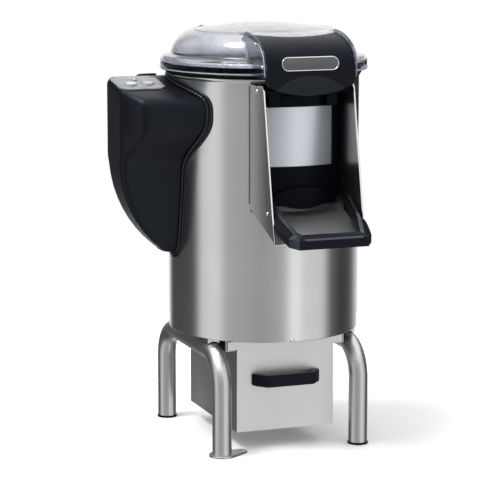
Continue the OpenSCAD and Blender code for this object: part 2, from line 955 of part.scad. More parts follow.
module control_panel() {
    color("gray") difference() {
        on_panel() linear_extrude(panel_plate_t) polygon(bevelled(panel_side / 2, panel_bevel));
        for (side = [-1, 1])
            at_buttons(side) disc(button_r + run_gap, -past, panel_plate_t + past);
        on_panel() translate([0, lamp_y, 0]) disc(lamp_r + seat_gap, -past, panel_plate_t + past);
    }
}

module button(side) {
    at_buttons(side) disc(button_r, -button_depth, panel_plate_t + button_proud);
}

module start_button() {
    color("seagreen") button(-1);
}

module stop_button() {
    color("firebrick") button(1);
}

module power_lamp() {
    color("white") on_panel() translate([0, lamp_y, 0]) {
        disc(lamp_r, -lamp_depth, panel_plate_t + lamp_proud);
        disc(lamp_r + lamp_rim, panel_plate_t, panel_plate_t + lamp_proud);
    }
}

module housing_screws() {
    color("gray") for (s = [0, 1])
        mirror([0, s, 0])
            rod_y(screw_corner[0], housing_screw_z, housing_screw_r,
                  screw_corner[1] - housing_screw_l, screw_corner[1]);
}

module contactor() {
    top = contactor_z + contactor_size[2];
    color("whitesmoke") difference() {
        block([-drum_r - contactor_size[0], -contactor_size[1] / 2, contactor_z],
              [-drum_r / 2, contactor_size[1] / 2, top]);
        disc(drum_r + seat_gap, contactor_z - past, top + past);
    }
}

// Services

module cable_bush() {
    color(rubber) difference() {
        union() {
            rod_x(0, bush_z, bush_r - seat_gap, -drum_r - bush_out, -drum_r + bush_in);
            difference() {
                rod_x(0, bush_z, bush_r + bush_rim, -drum_r - bush_out, -drum_r + bush_rim);
                disc(drum_r + seat_gap, bush_z - 2 * bush_r, bush_z + 2 * bush_r);
            }
        }
        rod_x(0, bush_z, bush_r - bush_wall, -drum_r - bush_out - past, -drum_r + bush_in + past);
    }
}

// A hexagon that lies along Y on the drum's outer face
module seated_nut(x, z, r, y0, y1) {
    difference() {
        translate([x, y0, z]) rotate([-90, 0, 0]) cylinder(r = r, h = y1 - y0, $fn = 6);
        disc(drum_r + seat_gap, z - 2 * r, z + 2 * r);
    }
}

module cable_gland() {
    face_y = sqrt(drum_r * drum_r - gland_x * gland_x);
    color(black_plastic) difference() {
        union() {
            rod_y(gland_x, gland_z, gland_neck_r, face_y - gland_in, face_y + gland_l);
            seated_nut(gland_x, gland_z, gland_nut_r, face_y - gland_in, face_y + gland_nut_out);
        }
        rod_y(gland_x, gland_z, gland_bore_r, face_y - gland_in - past, face_y + gland_l + past);
    }
}

module water_inlet() {
    face_y = sqrt(drum_r * drum_r - inlet_x * inlet_x);
    nut_y = face_y + inlet_nut_out;
    color("lightgray") difference() {
        union() {
            rod_y(inlet_x, inlet_z, inlet_r, face_y - inlet_in, nut_y + inlet_l);
            seated_nut(inlet_x, inlet_z, inlet_nut_r, face_y - inlet_in, nut_y);
        }
        rod_y(inlet_x, inlet_z, inlet_r - inlet_wall, face_y - inlet_in - past, nut_y + inlet_l + past);
    }
}

// Legs

// A tube bent into an inverted U, at a radius round its centre line
module leg_bow(r) {
    straight_h = run_z - bend_r - foot_t;
    for (y = [-leg_front, leg_rear])
        translate([leg_x, y, foot_t]) cylinder(r = r, h = straight_h);
    translate([leg_x, bend_r - leg_front, run_z - bend_r]) mirror([0, 1, 0]) rotate([90, 0, 90])
        rotate_extrude(angle = 90) translate([bend_r, 0]) circle(r = r);
    translate([leg_x, leg_rear - bend_r, run_z - bend_r]) rotate([90, 0, 90])
        rotate_extrude(angle = 90) translate([bend_r, 0]) circle(r = r);
    rod_y(leg_x, run_z, r, bend_r - leg_front, leg_rear - bend_r);
}

module leg_frame() {
    difference() {
        leg_bow(tube_r);
        leg_bow(tube_r - tube_t);
    }
}

module left_leg_frame() {
    color(steel) mirror([1, 0, 0]) leg_frame();
}

module right_leg_frame() {
    color(steel) leg_frame();
}

module leg_saddles() {
    color(dark_steel) both_sides() for (y = [-saddle_y, saddle_y])
        difference() {
            block([leg_x - saddle_w / 2, y - saddle_l / 2, run_z + tube_r / 2],
                  [leg_x + saddle_w / 2, y + saddle_l / 2, drum_bottom]);
            rod_y(leg_x, run_z, tube_r + seat_gap, y - saddle_l, y + saddle_l);
        }
}

// A thin rubber foot with a plug that fills the end of the tube
module foot_cap(x, y) {
    translate([x, y]) {
        disc(tube_r + foot_lip, 0, foot_t);
        disc(tube_r - tube_t - seat_gap, 0, foot_t + plug_h);
    }
}

module foot_caps() {
    color(rubber) {
        foot_cap(leg_x, -leg_front);
        foot_cap(leg_x, leg_rear);
        foot_cap(-leg_x, leg_rear);
    }
}

module floor_flange() {
    color(steel) translate([-leg_x, -leg_front]) difference() {
        hull() {
            cylinder(r = flange_r, h = foot_t, $fn = 32);
            translate(flange_offset) cylinder(r = flange_tip_r, h = foot_t, $fn = 32);
        }
        translate(flange_offset) disc(flange_hole_r, -past, foot_t + past);
    }
}

// Drawer

module drawer_rail() {
    profile = [
        [rail_lip, rail_z0], [rail_x, rail_z0], [rail_x, drum_bottom], [rail_lip, drum_bottom],
        [rail_lip, drum_bottom - rail_t], [rail_x - rail_t, drum_bottom - rail_t],
        [rail_x - rail_t, rail_z0 + rail_t], [rail_lip, rail_z0 + rail_t]
    ];
    along_y(-drawer_front_y + drawer_t + run_gap, rail_y1) polygon(profile);
}

module left_drawer_rail() {
    color(steel) mirror([1, 0, 0]) drawer_rail();
}

module right_drawer_rail() {
    color(steel) drawer_rail();
}

module drawer_box() {
    top = flange_z0 + drawer_t;
    inner = drawer_half - drawer_t;
    color(steel) {
        difference() {
            block([-drawer_half, drawer_back_face, drawer_clear], [drawer_half, drawer_back_y, top]);
            block([-inner, drawer_back_face - past, drawer_clear + drawer_t],
                  [inner, drawer_back_y - drawer_t, top + past]);
        }
        both_sides() block([inner, drawer_back_face, flange_z0], [flange_x, drawer_back_y, top]);
    }
}

module drawer_front() {
    color(steel) difference() {
        along_y(-drawer_front_y, drawer_back_face) polygon([
            [-drawer_half, drawer_clear], [drawer_half, drawer_clear], [drawer_half, flange_z0],
            [flange_x, flange_z0], [flange_x, front_top], [-flange_x, front_top],
            [-flange_x, flange_z0], [-drawer_half, flange_z0]
        ]);
        both_sides() rod_y(handle_screw_x, handle_z, handle_screw_r + seat_gap,
                           -drawer_front_y - past, drawer_back_face + past);
    }
}

module drawer_handle() {
    bar_half = handle_l / 2 - handle_taper;
    outer = -drawer_front_y - handle_reach;
    color(black_plastic) difference() {
        translate([0, 0, handle_z - handle_h / 2]) linear_extrude(handle_h) polygon([
            [-handle_l / 2, -drawer_front_y], [-bar_half, outer], [bar_half, outer],
            [handle_l / 2, -drawer_front_y], [handle_l / 2 - handle_foot, -drawer_front_y],
            [bar_half - handle_neck, outer + handle_bar], [handle_neck - bar_half, outer + handle_bar],
            [handle_foot - handle_l / 2, -drawer_front_y]
        ]);
        both_sides() rod_y(handle_screw_x, handle_z, handle_screw_r + seat_gap,
                           -drawer_front_y - handle_screw_l, -drawer_front_y + past);
    }
}

module handle_screws() {
    color("gray") both_sides() {
        rod_y(handle_screw_x, handle_z, handle_screw_r,
              past - drawer_front_y - handle_screw_l, drawer_back_face);
        rod_y(handle_screw_x, handle_z, handle_head_r, drawer_back_face, drawer_back_face + handle_head_t);
    }
}

module filter_tray() {
    top = tray_z1 + drawer_t;
    tray_z0 = top - tray_depth;
    inner = tray_half - drawer_t;
    slot_half = tray_half - slot_margin;
    slots = floor((tray_back - tray_front - 2 * slot_margin) / slot_pitch);
    color("gainsboro") difference() {
        union() {
            block([-tray_half, tray_front, tray_z0], [tray_half, tray_back, top]);
            both_sides() block([inner, tray_front, tray_z1], [flange_x - tray_flange_gap, tray_back, top]);
        }
        block([-inner, tray_front + drawer_t, tray_z0 + drawer_t], [inner, tray_back - drawer_t, top + past]);
        for (i = [0:slots])
            translate([0, tray_front + slot_margin + i * slot_pitch, tray_z0])
                block([-slot_half, 0, -past], [slot_half, slot_w, drawer_t + past]);
    }
}

// Chute and door

module chute_plate() {
    outline = concat(
        [[chute_back_y, chute_z(chute_back_y)], [chute_low_y, chute_low_z]],
        [[chute_low_y + chute_knee_back, chute_low_z + chute_knee_rise]],
        arc(chute_top_y + chute_corner, chute_top - chute_corner, chute_corner, 180, 90, 6),
        [[chute_back_y, chute_top]]
    );
    difference() {
        along_x(chute_in, chute_half) polygon(outline);
        disc(drum_r + seat_gap, chute_low_z, drum_top);
        rod_x(door_hinge_y, door_hinge_z, door_pin_r + shaft_gap, chute_in - past, chute_half + past);
        chute_screw_hole();
    }
}

module chute_screw_hole() {
    rod_x(chute_screw_y, chute_screw_z, chute_screw_r + seat_gap,
          chute_in - 2 * chute_screw_l, chute_half + past);
}

module left_chute_plate() {
    color(dark_steel) mirror([1, 0, 0]) chute_plate();
}

module right_chute_plate() {
    color(dark_steel) chute_plate();
}

module chute_floor() {
    front_y = spout_y + spout_rim_w + floor_end;
    color(dark_steel) difference() {
        along_x(-chute_in + seat_gap, chute_in - seat_gap) polygon([
            [chute_back_y, chute_z(chute_back_y)], [front_y, chute_z(front_y)],
            [front_y, chute_z(front_y) - chute_t], [chute_back_y, chute_z(chute_back_y) - chute_t]
        ]);
        disc(drum_r + seat_gap, chute_low_z, drum_top);
    }
}

module chute_screws() {
    color("gray") both_sides() {
        rod_x(chute_screw_y, chute_screw_z, chute_screw_r, chute_in - chute_screw_l, chute_half);
        rod_x(chute_screw_y, chute_screw_z, screw_r, chute_half, chute_half + screw_t);
    }
}

module spout_rim() {
    arm_y = chute_low_y + spout_arm_l;
    step_y = chute_low_y - spout_step;
    outer = chute_in - seat_gap;
    inner = outer - spout_rim_w;
    bar_y = spout_y + spout_rim_w;
    color(black_plastic) difference() {
        intersection() {
            translate([0, 0, spout_z0 - past])
                linear_extrude(spout_arm_top - spout_z0 + 2 * past) difference() {
                    polygon([
                        [-outer, arm_y], [-outer, step_y], [-chute_half, step_y],
                        [-chute_half, spout_y + spout_corner[1]], [spout_corner[0] - chute_half, spout_y],
                        [chute_half - spout_corner[0], spout_y], [chute_half, spout_y + spout_corner[1]],
                        [chute_half, step_y], [outer, step_y], [outer, arm_y]
                    ]);
                    polygon([
                        [-inner, arm_y + past], [-inner, bar_y + spout_inner_corner[1]],
                        [spout_inner_corner[0] - inner, bar_y], [inner - spout_inner_corner[0], bar_y],
                        [inner, bar_y + spout_inner_corner[1]], [inner, arm_y + past]
                    ]);
                }
            along_x(-chute_half - past, chute_half + past) polygon([
                [spout_y, spout_z0], [bar_y, spout_z0], [chute_low_y, spout_z0 + spout_arm_lift],
                [arm_y, spout_arm_top - spout_arm_h],
                [arm_y, spout_arm_top - spout_arm_chamfer[1]], [arm_y - spout_arm_chamfer[0], spout_arm_top],
                [bar_y + spout_slant, spout_z1], [spout_y + spout_facet[0], spout_z1],
                [spout_y, spout_z1 - spout_facet[1]]
            ]);
        }
        both_sides() chute_screw_hole();
    }
}

module window_seal() {
    color(rubber) difference() {
        front_patch(drum_r + seat_gap, drum_r + seal_t, window_half + seal_w,
                    window_z0 - seal_w, window_z1 + seal_w);
        block([-window_half, -2 * drum_r, window_z0], [window_half, 0, window_z1]);
    }
}

// A lens between two arcs that meet at half a width to each side, as seen along Y
module lens(half, low, high, y0, y1) {
    rise = (high - low) / 2;
    r = (half * half + rise * rise) / (2 * rise);
    mid = (high + low) / 2;
    intersection() {
        rod_y(0, mid + rise - r, r, y0, y1);
        rod_y(0, mid - rise + r, r, y0, y1);
    }
}

module door_surround() {
    frame_r = door_r0 + door_t;
    color(black_plastic) difference() {
        union() {
            front_patch(door_r0, frame_r, door_half, door_z0, door_z1);
            intersection() {
                lens(lip_half, lip_low, lip_top, -drum_r - 2 * lip_reach, -drum_r / 2);
                disc(drum_r + lip_reach, lip_low - past, lip_top + past);
            }
            for (s = [-1, 1])
                hinge_knuckle(s);
        }
        disc(door_r0, lip_low - lip_hollow, drum_top);
        both_sides() block([door_foot_half, -2 * drum_r, door_z0 - past], [drum_r, 0, door_foot_z]);
        block([-panel_half, -2 * drum_r, panel_z0], [panel_half, 0, panel_z1]);
        rod_x(door_hinge_y, door_hinge_z, door_pin_r + shaft_gap, -chute_half, chute_half);
        intersection() {
            lens(lip_half - lip_hollow, lip_low - lip_hollow, lip_top - lip_wall,
                 -drum_r - 2 * lip_reach, -drum_r / 2);
            ring(frame_r, drum_r + lip_reach - lip_wall, lip_low - 2 * lip_hollow, lip_top);
        }
    }
}

// One arm of the door with its eye round the hinge pin
module hinge_knuckle(side) {
    x0 = side > 0 ? knuckle_x - knuckle_l / 2 : -knuckle_x - knuckle_l / 2;
    rod_x(door_hinge_y, door_hinge_z, knuckle_r, x0, x0 + knuckle_l);
    block([x0, door_hinge_y - knuckle_r, door_z1 - knuckle_lap], [x0 + knuckle_l, -drum_r * 0.9, door_hinge_z]);
}

module door_panel() {
    back_r = door_r0 + panel_sink;
    color(steel) front_patch(back_r, back_r + panel_t, panel_half - seat_gap,
                             panel_z0 + seat_gap, panel_z1 - seat_gap);
}

module door_hinge_pin() {
    color("gray") {
        rod_x(door_hinge_y, door_hinge_z, door_pin_r, -chute_half, chute_half);
        both_sides() rod_x(door_hinge_y, door_hinge_z, door_pin_r + pin_head, chute_half, chute_half + screw_t);
    }
}

// Lid

module rim_gasket() {
    color(rubber) rotate_extrude() polygon([
        [inner_r, drum_top], [drum_r + rim_bead + bead_edge, drum_top], [gasket_r, drum_top + lid_lift],
        [gasket_r, gasket_z1], [inner_r, gasket_z1]
    ]);
}

// Outer or inner face of the dome, from the skirt to the crown
function dome_curve(inset) =
    let (
        crown_r = (dome_r1 * dome_r1 + crown_h * crown_h) / (2 * crown_h),
        crown_sweep = asin(dome_r1 / crown_r)
    )
    concat(
        bend([dome_r0 - inset, dome_z0], [dome_pull_r - 0.67 * inset, dome_pull_z - 0.92 * inset],
             [dome_r1 - 0.5 * inset, dome_z1 - inset], 7),
        [for (i = [1:5])
            let (a = crown_sweep * (1 - i / 5))
            [crown_r * sin(a), dome_z1 + crown_h - crown_r * (1 - cos(a)) - inset]]
    );

module dome_outer() {
    rotate_extrude() polygon(concat(
        [[0, lid_z0], [lid_r, lid_z0], [lid_r, lid_z1]], dome_curve(0)
    ));
}

module dome_inner() {
    rotate_extrude() polygon(concat(
        [[0, lid_z0 - past], [lid_r - lid_t, lid_z0 - past], [lid_r - lid_t, lid_flange_z],
         [dome_r0 - lid_t, lid_flange_z]],
        dome_curve(lid_t)
    ));
}

// The hood's curve from its roof over its nose and down its face, as seen along X
function hood_curve(inset) = concat(
    bend([hood_back, hood_top - inset], [hood_y - hood_nose_out + inset, hood_nose_z - inset],
         [hood_y + inset, hood_bend_z], 9),
    [[hood_y - visor_lean + inset, visor_low]]
);

function hood_strip(t0, t1) =
    let (outer = hood_curve(t0), inner = hood_curve(t1))
    concat(outer, [for (i = [len(inner) - 1:-1:0]) inner[i]]);

module hood_cheek() {
    along_x(hood_half - lid_t, hood_half) intersection() {
        polygon(concat(
            [[-dome_r0 * 0.5, hood_top + cheek_lip]], hood_curve(-cheek_lip), [[-dome_r0 * 0.5, visor_low]]
        ));
        translate([-2 * drum_r, hood_low]) square([2 * drum_r, hood_rise + cheek_lip]);
    }
}

module hood_roof() {
    roof_back = hood_back + hood_lap;
    half = hood_half - lid_t / 2;
    intersection() {
        along_x(-half, half)
            polygon(concat([[roof_back, hood_top]], hood_strip(0, roof_t), [[roof_back, hood_top - roof_t]]));
        disc(visor_edge_r - seat_gap, lid_z1, hood_top + past);
    }
}

module lid_lug() {
    outline = concat(
        [
            [drum_r - lug_in, lug_top - lug_chamfer[1]], [drum_r - lug_in + lug_chamfer[0], lug_top],
            [drum_r - lug_shoulder, lug_top]
        ],
        arc(hinge_y, hinge_z, eye_r, 40, -120, 8),
        [[drum_r + lug_foot[0], lid_z0 + lug_foot[1]], [drum_r - lug_heel, lid_z1]]
    );
    along_x(lug_x, lug_x + lug_t) polygon(outline);
}

module lid_dome() {
    color(clear) difference() {
        union() {
            dome_outer();
            both_sides() hood_cheek();
            hood_roof();
            both_sides() lid_lug();
        }
        dome_inner();
        rod_x(hinge_y, hinge_z, lid_pin_r + shaft_gap, -lug_x - lug_t - past, lug_x + lug_t + past);
    }
}

module lid_visor() {
    half = visor_half;
    corner_r = (half * half + visor_corner_rise * visor_corner_rise) / (2 * visor_corner_rise);
    arch_r = (recess_half * recess_half + recess_rise * recess_rise) / (2 * recess_rise);
    color(black_plastic) difference() {
        union() {
            along_x(-half, half) polygon(hood_strip(0, visor_t));
            both_sides() intersection() {
                along_x(half - visor_tab_t, half) polygon(hood_strip(0, visor_tab));
                block([0, -2 * drum_r, hood_low], [hood_half, 0, hood_top]);
            }
        }
        disc(visor_edge_r, visor_low - past, hood_top + past);
        difference() {
            block([-2 * half, -2 * drum_r, visor_low - past], [2 * half, 0, visor_low + visor_corner_rise]);
            rod_y(0, visor_low + corner_r, corner_r, -2 * drum_r, 0);
        }
        intersection() {
            along_x(-half, half) polygon(hood_strip(-past, recess_depth));
            rod_y(0, recess_top - arch_r, arch_r, -2 * drum_r, 0);
        }
    }
}

module visor_badge() {
    color("gray") intersection() {
        along_x(-badge_l / 2, badge_l / 2) polygon(hood_strip(-badge_t, -seat_gap));
        along_y(-2 * drum_r, -drum_r) translate([0, badge_z]) union() {
            square([badge_l - badge_h, badge_h], center = true);
            for (s = [-1, 1])
                translate([s * (badge_l - badge_h) / 2, 0]) circle(d = badge_h);
        }
    }
}

module visor_rivets() {
    color("lightgray") both_sides() for (p = rivet_places)
        rod_x(p[0], p[1], rivet_r, hood_half, hood_half + rivet_t);
}

module hinge_bracket() {
    seat = drum_r + seat_gap;
    outline = concat(
        [
            [drum_r - ear_sink, bracket_z1], [drum_r - ear_sink, bracket_z0 + ear_foot],
            [drum_r + ear_foot, bracket_z0 + ear_foot]
        ],
        arc(hinge_y, hinge_z, eye_r, -40, 150, 8)
    );
    color(dark_steel) difference() {
        union() {
            mirror([0, 1, 0])
                front_patch(seat, seat + bracket_t, bracket_half, bracket_z0, bracket_z1);
            both_sides() along_x(ear_x, ear_x + ear_t) polygon(outline);
        }
        disc(seat, bracket_z0 - past, drum_top);
        rod_x(hinge_y, hinge_z, lid_pin_r + shaft_gap, -ear_x - ear_t - past, ear_x + ear_t + past);
    }
}

module lid_hinge_pin() {
    half = lug_x + lug_t + pin_end;
    color("gray") rod_x(hinge_y, hinge_z, lid_pin_r, -half, half);
}

module lid_switch() {
    seat = drum_r + seat_gap + bracket_t;
    color(black_plastic) difference() {
        block([-switch_half, drum_r * 0.9, bracket_z0 + switch_margin[0]],
              [switch_half, seat + switch_l, bracket_z1 - switch_margin[1]]);
        disc(seat, bracket_z0, drum_top);
    }
}

drum_shell();
bottom_cover();
tank_floor();
wall_ribs();
drain_pipe();
bearing_housing();
bearing_bolts();
spindle_bearings();
shaft_seal();
spindle();
cleaning_plate();
plate_nut();
driven_pulley();
motor_plate();
motor_body();
motor_bolts();
motor_shaft();
drive_pulley();
drive_belt();
control_housing();
housing_gasket();
control_panel();
housing_screws();
start_button();
stop_button();
power_lamp();
contactor();
cable_bush();
cable_gland();
water_inlet();
left_leg_frame();
right_leg_frame();
leg_saddles();
foot_caps();
floor_flange();
left_drawer_rail();
right_drawer_rail();
drawer_box();
drawer_front();
drawer_handle();
handle_screws();
filter_tray();
left_chute_plate();
right_chute_plate();
chute_floor();
chute_screws();
spout_rim();
window_seal();
door_surround();
door_panel();
door_hinge_pin();
rim_gasket();
lid_dome();
lid_visor();
visor_badge();
visor_rivets();
hinge_bracket();
lid_hinge_pin();
lid_switch();
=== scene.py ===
"""Looks of the mussel cleaning machine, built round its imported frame.

Lengths are in millimetres until a mesh is made. The machine's front faces -Y and its housing -X.
"""
import math

import bmesh
import bpy
import numpy as np
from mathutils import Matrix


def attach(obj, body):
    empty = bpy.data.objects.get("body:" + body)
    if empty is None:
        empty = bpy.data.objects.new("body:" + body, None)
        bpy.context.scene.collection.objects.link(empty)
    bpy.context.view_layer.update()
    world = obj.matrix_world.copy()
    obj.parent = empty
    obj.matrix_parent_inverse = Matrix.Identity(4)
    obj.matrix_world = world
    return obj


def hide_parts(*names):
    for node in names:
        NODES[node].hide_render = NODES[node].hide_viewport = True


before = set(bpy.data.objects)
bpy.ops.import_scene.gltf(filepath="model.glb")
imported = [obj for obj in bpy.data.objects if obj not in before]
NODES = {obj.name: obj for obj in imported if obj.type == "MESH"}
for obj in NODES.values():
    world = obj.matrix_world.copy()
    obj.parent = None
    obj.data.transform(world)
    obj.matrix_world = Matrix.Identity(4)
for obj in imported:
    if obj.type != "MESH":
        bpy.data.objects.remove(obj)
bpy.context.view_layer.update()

MM = 0.001

# Drum
DRUM_R = 200
DRUM_LOW, DRUM_TOP = 237, 779
SHEET = 1.5
WINDOW_HALF, WINDOW_LOW, WINDOW_HIGH = 78, 532, 722
WALL_LEVELS = np.arange(250, 760, 15)
DRUM_FOOT = [(199.3, DRUM_LOW), (199.8, 237.6), (DRUM_R, 238.3), (DRUM_R, 239)]
DRUM_RIM = [(DRUM_R, 768), (200.5, 769.6), (201.8, 770.6), (202.8, 772.4), (203.1, 774.6), (202.8, 776.8),
            (201.9, 778.2), (200.4, 778.9), (198.8, DRUM_TOP)]
SEAM_ANGLE, SEAM_TOP, SEAM_STEP = 118, 766, 8
SEAM_SECTION = [(-2.2, -0.4), (-1.4, 0.25), (0, 0.5), (1.4, 0.25), (2.2, -0.4)]

# Lid
LID_T = 4
DOME_FOOT, DOME_PULL = (197, 808), (187.8, 857.8)
DOME_EDGE_R, DOME_EDGE_Z, CROWN_Z = 146, 864, 878
SIDE_FROM_Z = 821.5
RIM_PROFILE = [
    (213.2, 784.6), (215.4, 783.6), (217.4, 784.2), (218.2, 786), (217.9, 788), (216.8, 789.4),
    (216.4, 791.5), (216.4, 800.5), (216.9, 802.6), (217.9, 803.8), (217.6, 805.4), (215.6, 806.2),
    (213.9, 806.9), (213.4, 808.4), (212.4, 810.8), (209.6, 812.2), (205.6, 813), (201, 813.8),
    (197.6, 815), (195.6, 817), (194.4, 819.6)
]
RIM_SHOULDER = RIM_PROFILE[14:]
INNER_RIM = [(189, 803.6), (205, 800.6), (211.6, 800.2), (213, 798.6), (213, 785.6)]
# SKIRT_LIP and SKIRT_LIP_R bound the lip's outer bulge, which carries a painted highlight
SKIRT_WALL, SKIRT_LIP, SKIRT_LIP_R = (789.4, 802.6), (785.6, 788.4), 216.2
CREASE_R = 1.1
HINGE_Y, HINGE_Z, EYE_R, EYE_TURN = 232, 774, 11, (40, -120)
LUG_TOP, LUG_FOOT = [(130, 841), (140, 861), (206, 861)], [(205, 785), (160, 803)]
LUG_IN, LUG_OUT = 56, 70

# Rim gasket
GASKET_TEETH = 288
GASKET_CHANNEL = [(198.5, 779.2), (203.3, 779.2), (203.3, 775.8), (205, 775.8), (205, 785.4)]
GASKET_PROUD = [(208.2, 787.6), (208.4, 797.6), (207.4, 799.8), (198.5, 799.8)]
GASKET_SUNK = [(205.2, 787.2), (205.2, 798.6), (205, 799.8), (198.5, 799.8)]

# Hood
HOOD_HALF, HOOD_TOP, HOOD_T = 98.2, 866, 3
HOOD_BACK_Y, HOOD_TURN_Y, HOOD_STEP = -110, -150, 8
NOSE_PULL, NOSE_FOOT = (-262, 858), (-261, 800)
FACE_LEAN, FACE_DROP = 5, 51
CHEEK_LIP, CHEEK_LOW, CHEEK_T = 6, 785, 2.6
CHEEK_HOOK = [(-138.5, 851), (-140, 859), (-143.5, 865.5), (-149, 869.6), (-156, 871.4)]
CHEEK_HOOK_END_Y = -162
CHEEK_FRONT = [(-268.6, 787), (-266.4, CHEEK_LOW)]
CHEEK_FOOT_R, CHEEK_FOOT_TOP = 216, 804
CHEEK_BACK_R, CHEEK_SEAM_R = (212, 171), (171, 214)
CHEEK_FILLET_R, CHEEK_BEAD_R, CHEEK_BEAD_TOP = 3, 1.15, 852

# Visor and badge
VISOR_HALF, VISOR_T = 95.4, 5
VISOR_BACK_R, VISOR_BACK_Y = 150, -44
VISOR_LOW, VISOR_CORNER_RISE = 749, 21
VISOR_TIP_RISE, VISOR_TIP_W = 7, 9
GRIP_TOP, GRIP_R, GRIP_RISE, GRIP_SLOPE = 789, 118, 2.4, 5
BADGE_L, BADGE_H, BADGE_Z = 122, 28, 812
BADGE_FRAME = [(0, 0.1), (0, 1.1), (0.35, 1.5), (1.2, 1.5), (1.5, 1.3)]
BADGE_INSIDE = [(1.8, 0.8), (7, 0.8), (13.99, 0.8)]

# Screws, rivets and the door's pin; a head is its radius, height and, if it has one, socket's share
SCREW_HEAD, FOOT_SCREW_HEAD, WELL_HEAD = (4.6, 2.2, 0.5), (4.8, 3, 0.5), (3.6, 0.7, 0.62)
RIVET_HEAD, PIN_HEAD = (4, 2.8), (6, 2.2)
RIVETS = [(-211, 849), (-250, 806)]
CHUTE_SCREW = (-276, 517.9)
FOOT_SCREW, FOOT_SCREW_OUT = (-12, -199.7, 240.6), (-0.06, -1, 0)
DOOR_PIN, DOOR_PIN_R = (-216, 755), 4

# Chute
PLATE_IN, PLATE_OUT = 95.5, 97.5
PLATE_LOW, PLATE_KNEE, PLATE_TOP = (-316, 465.1), (-300, 527), (-226, 767)
PLATE_CORNER, PLATE_CORNER_R = (-242, 754), 13
HEM_SECTION = [(-1.7, -2.4), (-1.7, 1.2), (-1, 2), (1, 2), (1.7, 1.2), (1.7, -2.4)]
WELD_R, WELD_LOW, WELD_HIGH = 1.5, 524, 764
TAB_OUTLINE = [(97, 463.6), (75, 462.4), (75, 469), (84, 490), (97, 490)]
TAB_FRONT, TAB_BACK = -318.6, -316.6
TAB_HEM_R, TAB_HEM_Y, TAB_HEM_ENDS = 1.3, -318.8, ((97, 463.2), (76, 462.15))
SLIDE_HALF, SLIDE_R, SLIDE_T = 95.2, 200.4, 2
CHUTE_FLOOR_Z, CHUTE_SLOPE, CHUTE_END_Y = 508, math.radians(20.3), -317

# Spout: the right side's outer and inner points, from the arm's back to the bar, and heights by Y
SPOUT_RIGHT = [
    ((95.3, -250), (81.3, -250)), ((95.3, -256), (81.3, -256)), ((95.3, -286), (79.5, -286)),
    ((95.3, -316.8), (76, -316.8)), ((97.4, -317.2), (76, -317.2)), ((96.6, -330), (73.6, -330)),
    ((87.5, -368), (66.6, -358)), ((73, -388), (61.3, -374)), ((64, -388), (54, -374))
]
SPOUT_TOPS = (-388, -370, -256, -250), (489.6, 491, 544.4, 540.6)
SPOUT_FEET = (-388, -374, -316, -250), (461.6, 461.6, 491.6, 514.6)
SHOULDER_ARM, SHOULDER_BAR, SHOULDER_TURN = 0.35, 0.68, (-330, -380)
RIDGE_W, RIDGE_FALL, RIDGE_EDGE = 8.5, 2.2, 1.2
INNER_DROP, LAP_W, LAP_FALL = 9, 3.5, 1.5
SPOUT_BEAD_HALF, SPOUT_BEAD_R, SPOUT_BEAD = 62, 2.4, (-387.4, 480.8)

# Door: radius, half width and heights of each sheet; STRIP_IN is the side strips' inner edge
SILL_R, SILL_HALF, SILL_Z = 201.4, 95.2, (507, 530.5)
STRIP_R, STRIP_IN, STRIP_Z = 201.9, 84, (531, 767)
HEAD_R, HEAD_HALF, HEAD_Z = 202.6, 88, (733, 767)
BROW_R, BROW_HALF, BROW_Z = 214, 91, (721.5, 745)
DOOR_R, DOOR_HALF, DOOR_Z = 206.1, 76.3, (600.2, 722.8)
SLEEVE_R, SLEEVE_HALF = 8.4, 94

# Control housing
HOUSING_X, BELLY_Z, BELLY_R, BELLY_DROP = -328, 605, 240.8, 230
TIP_Z, TIP_TURN = 404, 10
HOUSING_HALF, KEEL_HALF = 113, 47
NECK_Z, NECK_H = 580, 110
KEEL_LEVELS = (TIP_Z, 405.5, 408, 412, 418, 432, 455, 500, 540, NECK_Z)
KEEL_WIDTHS = (4, 12, 18, 23, 27, 31.5, 35, 40, 44, KEEL_HALF)
HOUSING_LEVELS = [
    404.1, 404.6, 405.5, 407, 409, 411.5, 414, 419, 427, 440, 456, 475, 497, 520,
    545, 568, 582, 594, 606, 618, 630, 642, 654, 666, 676, 684, 692
]
HOUSING_SEAT_R, HOUSING_EDGE_R = 203, 13
WIDE_RANGE, CORNER_NARROW, CORNER_WIDE = (50, 105), 12, 30
FLANK_TAPER, SPINE_ROUND = 9, 10
PANEL_X, PANEL_Z, PANEL_TILT = -277, 758, math.radians(10)
ROOF_FLAT, ROOF_FRONT_FALL, ROOF_REAR_FALL = 46, 0.002, 0.005
REAR_LIP = [(-253, 748), (-246, 767), (-240, 769), (-206, 769.5), (-206, 748)]
REAR_LIP_Y = (90, 104)
EDGING_STEP, EDGING_ROUNDS = 2, 24
# Each strip of the edging: its distance out from the housing's edge and its rise off the drum
RIBBED_PLACE, PLAIN_PLACE, WEB_PLACE = (3.2, 2.8), (10.2, 1.4), (5, 1.2)
RIBBED_R, RIBBED_FLAT, RIB_SHARE, PLAIN_R = 4.4, 0.85, 0.84, 2.3
EDGING_WEB = [(-7.5, -1), (7.5, -1), (7.5, 0.6), (-7.5, 0.6)]

# Controls
KEY_U, KEY_V, LAMP_V = 18, -12, 20
KEY_CAP = [(0, 5.1), (5, 5.2), (8.4, 5.6), (9.7, 6), (10.5, 5.8), (11, 5), (11, -16), (0, -16)]
LAMP_CAP = [(0, 6.4), (2.2, 6.1), (3.9, 5.2), (4.9, 3.8), (5, 2.8), (5, -12), (0, -12)]
KEY_BEZEL, LAMP_BEZEL = (11.8, 14.6), (5.2, 7.4)
WELL, WELL_OUT = (-313.5, 81.75, 695), (-0.885, 0.466, 0)

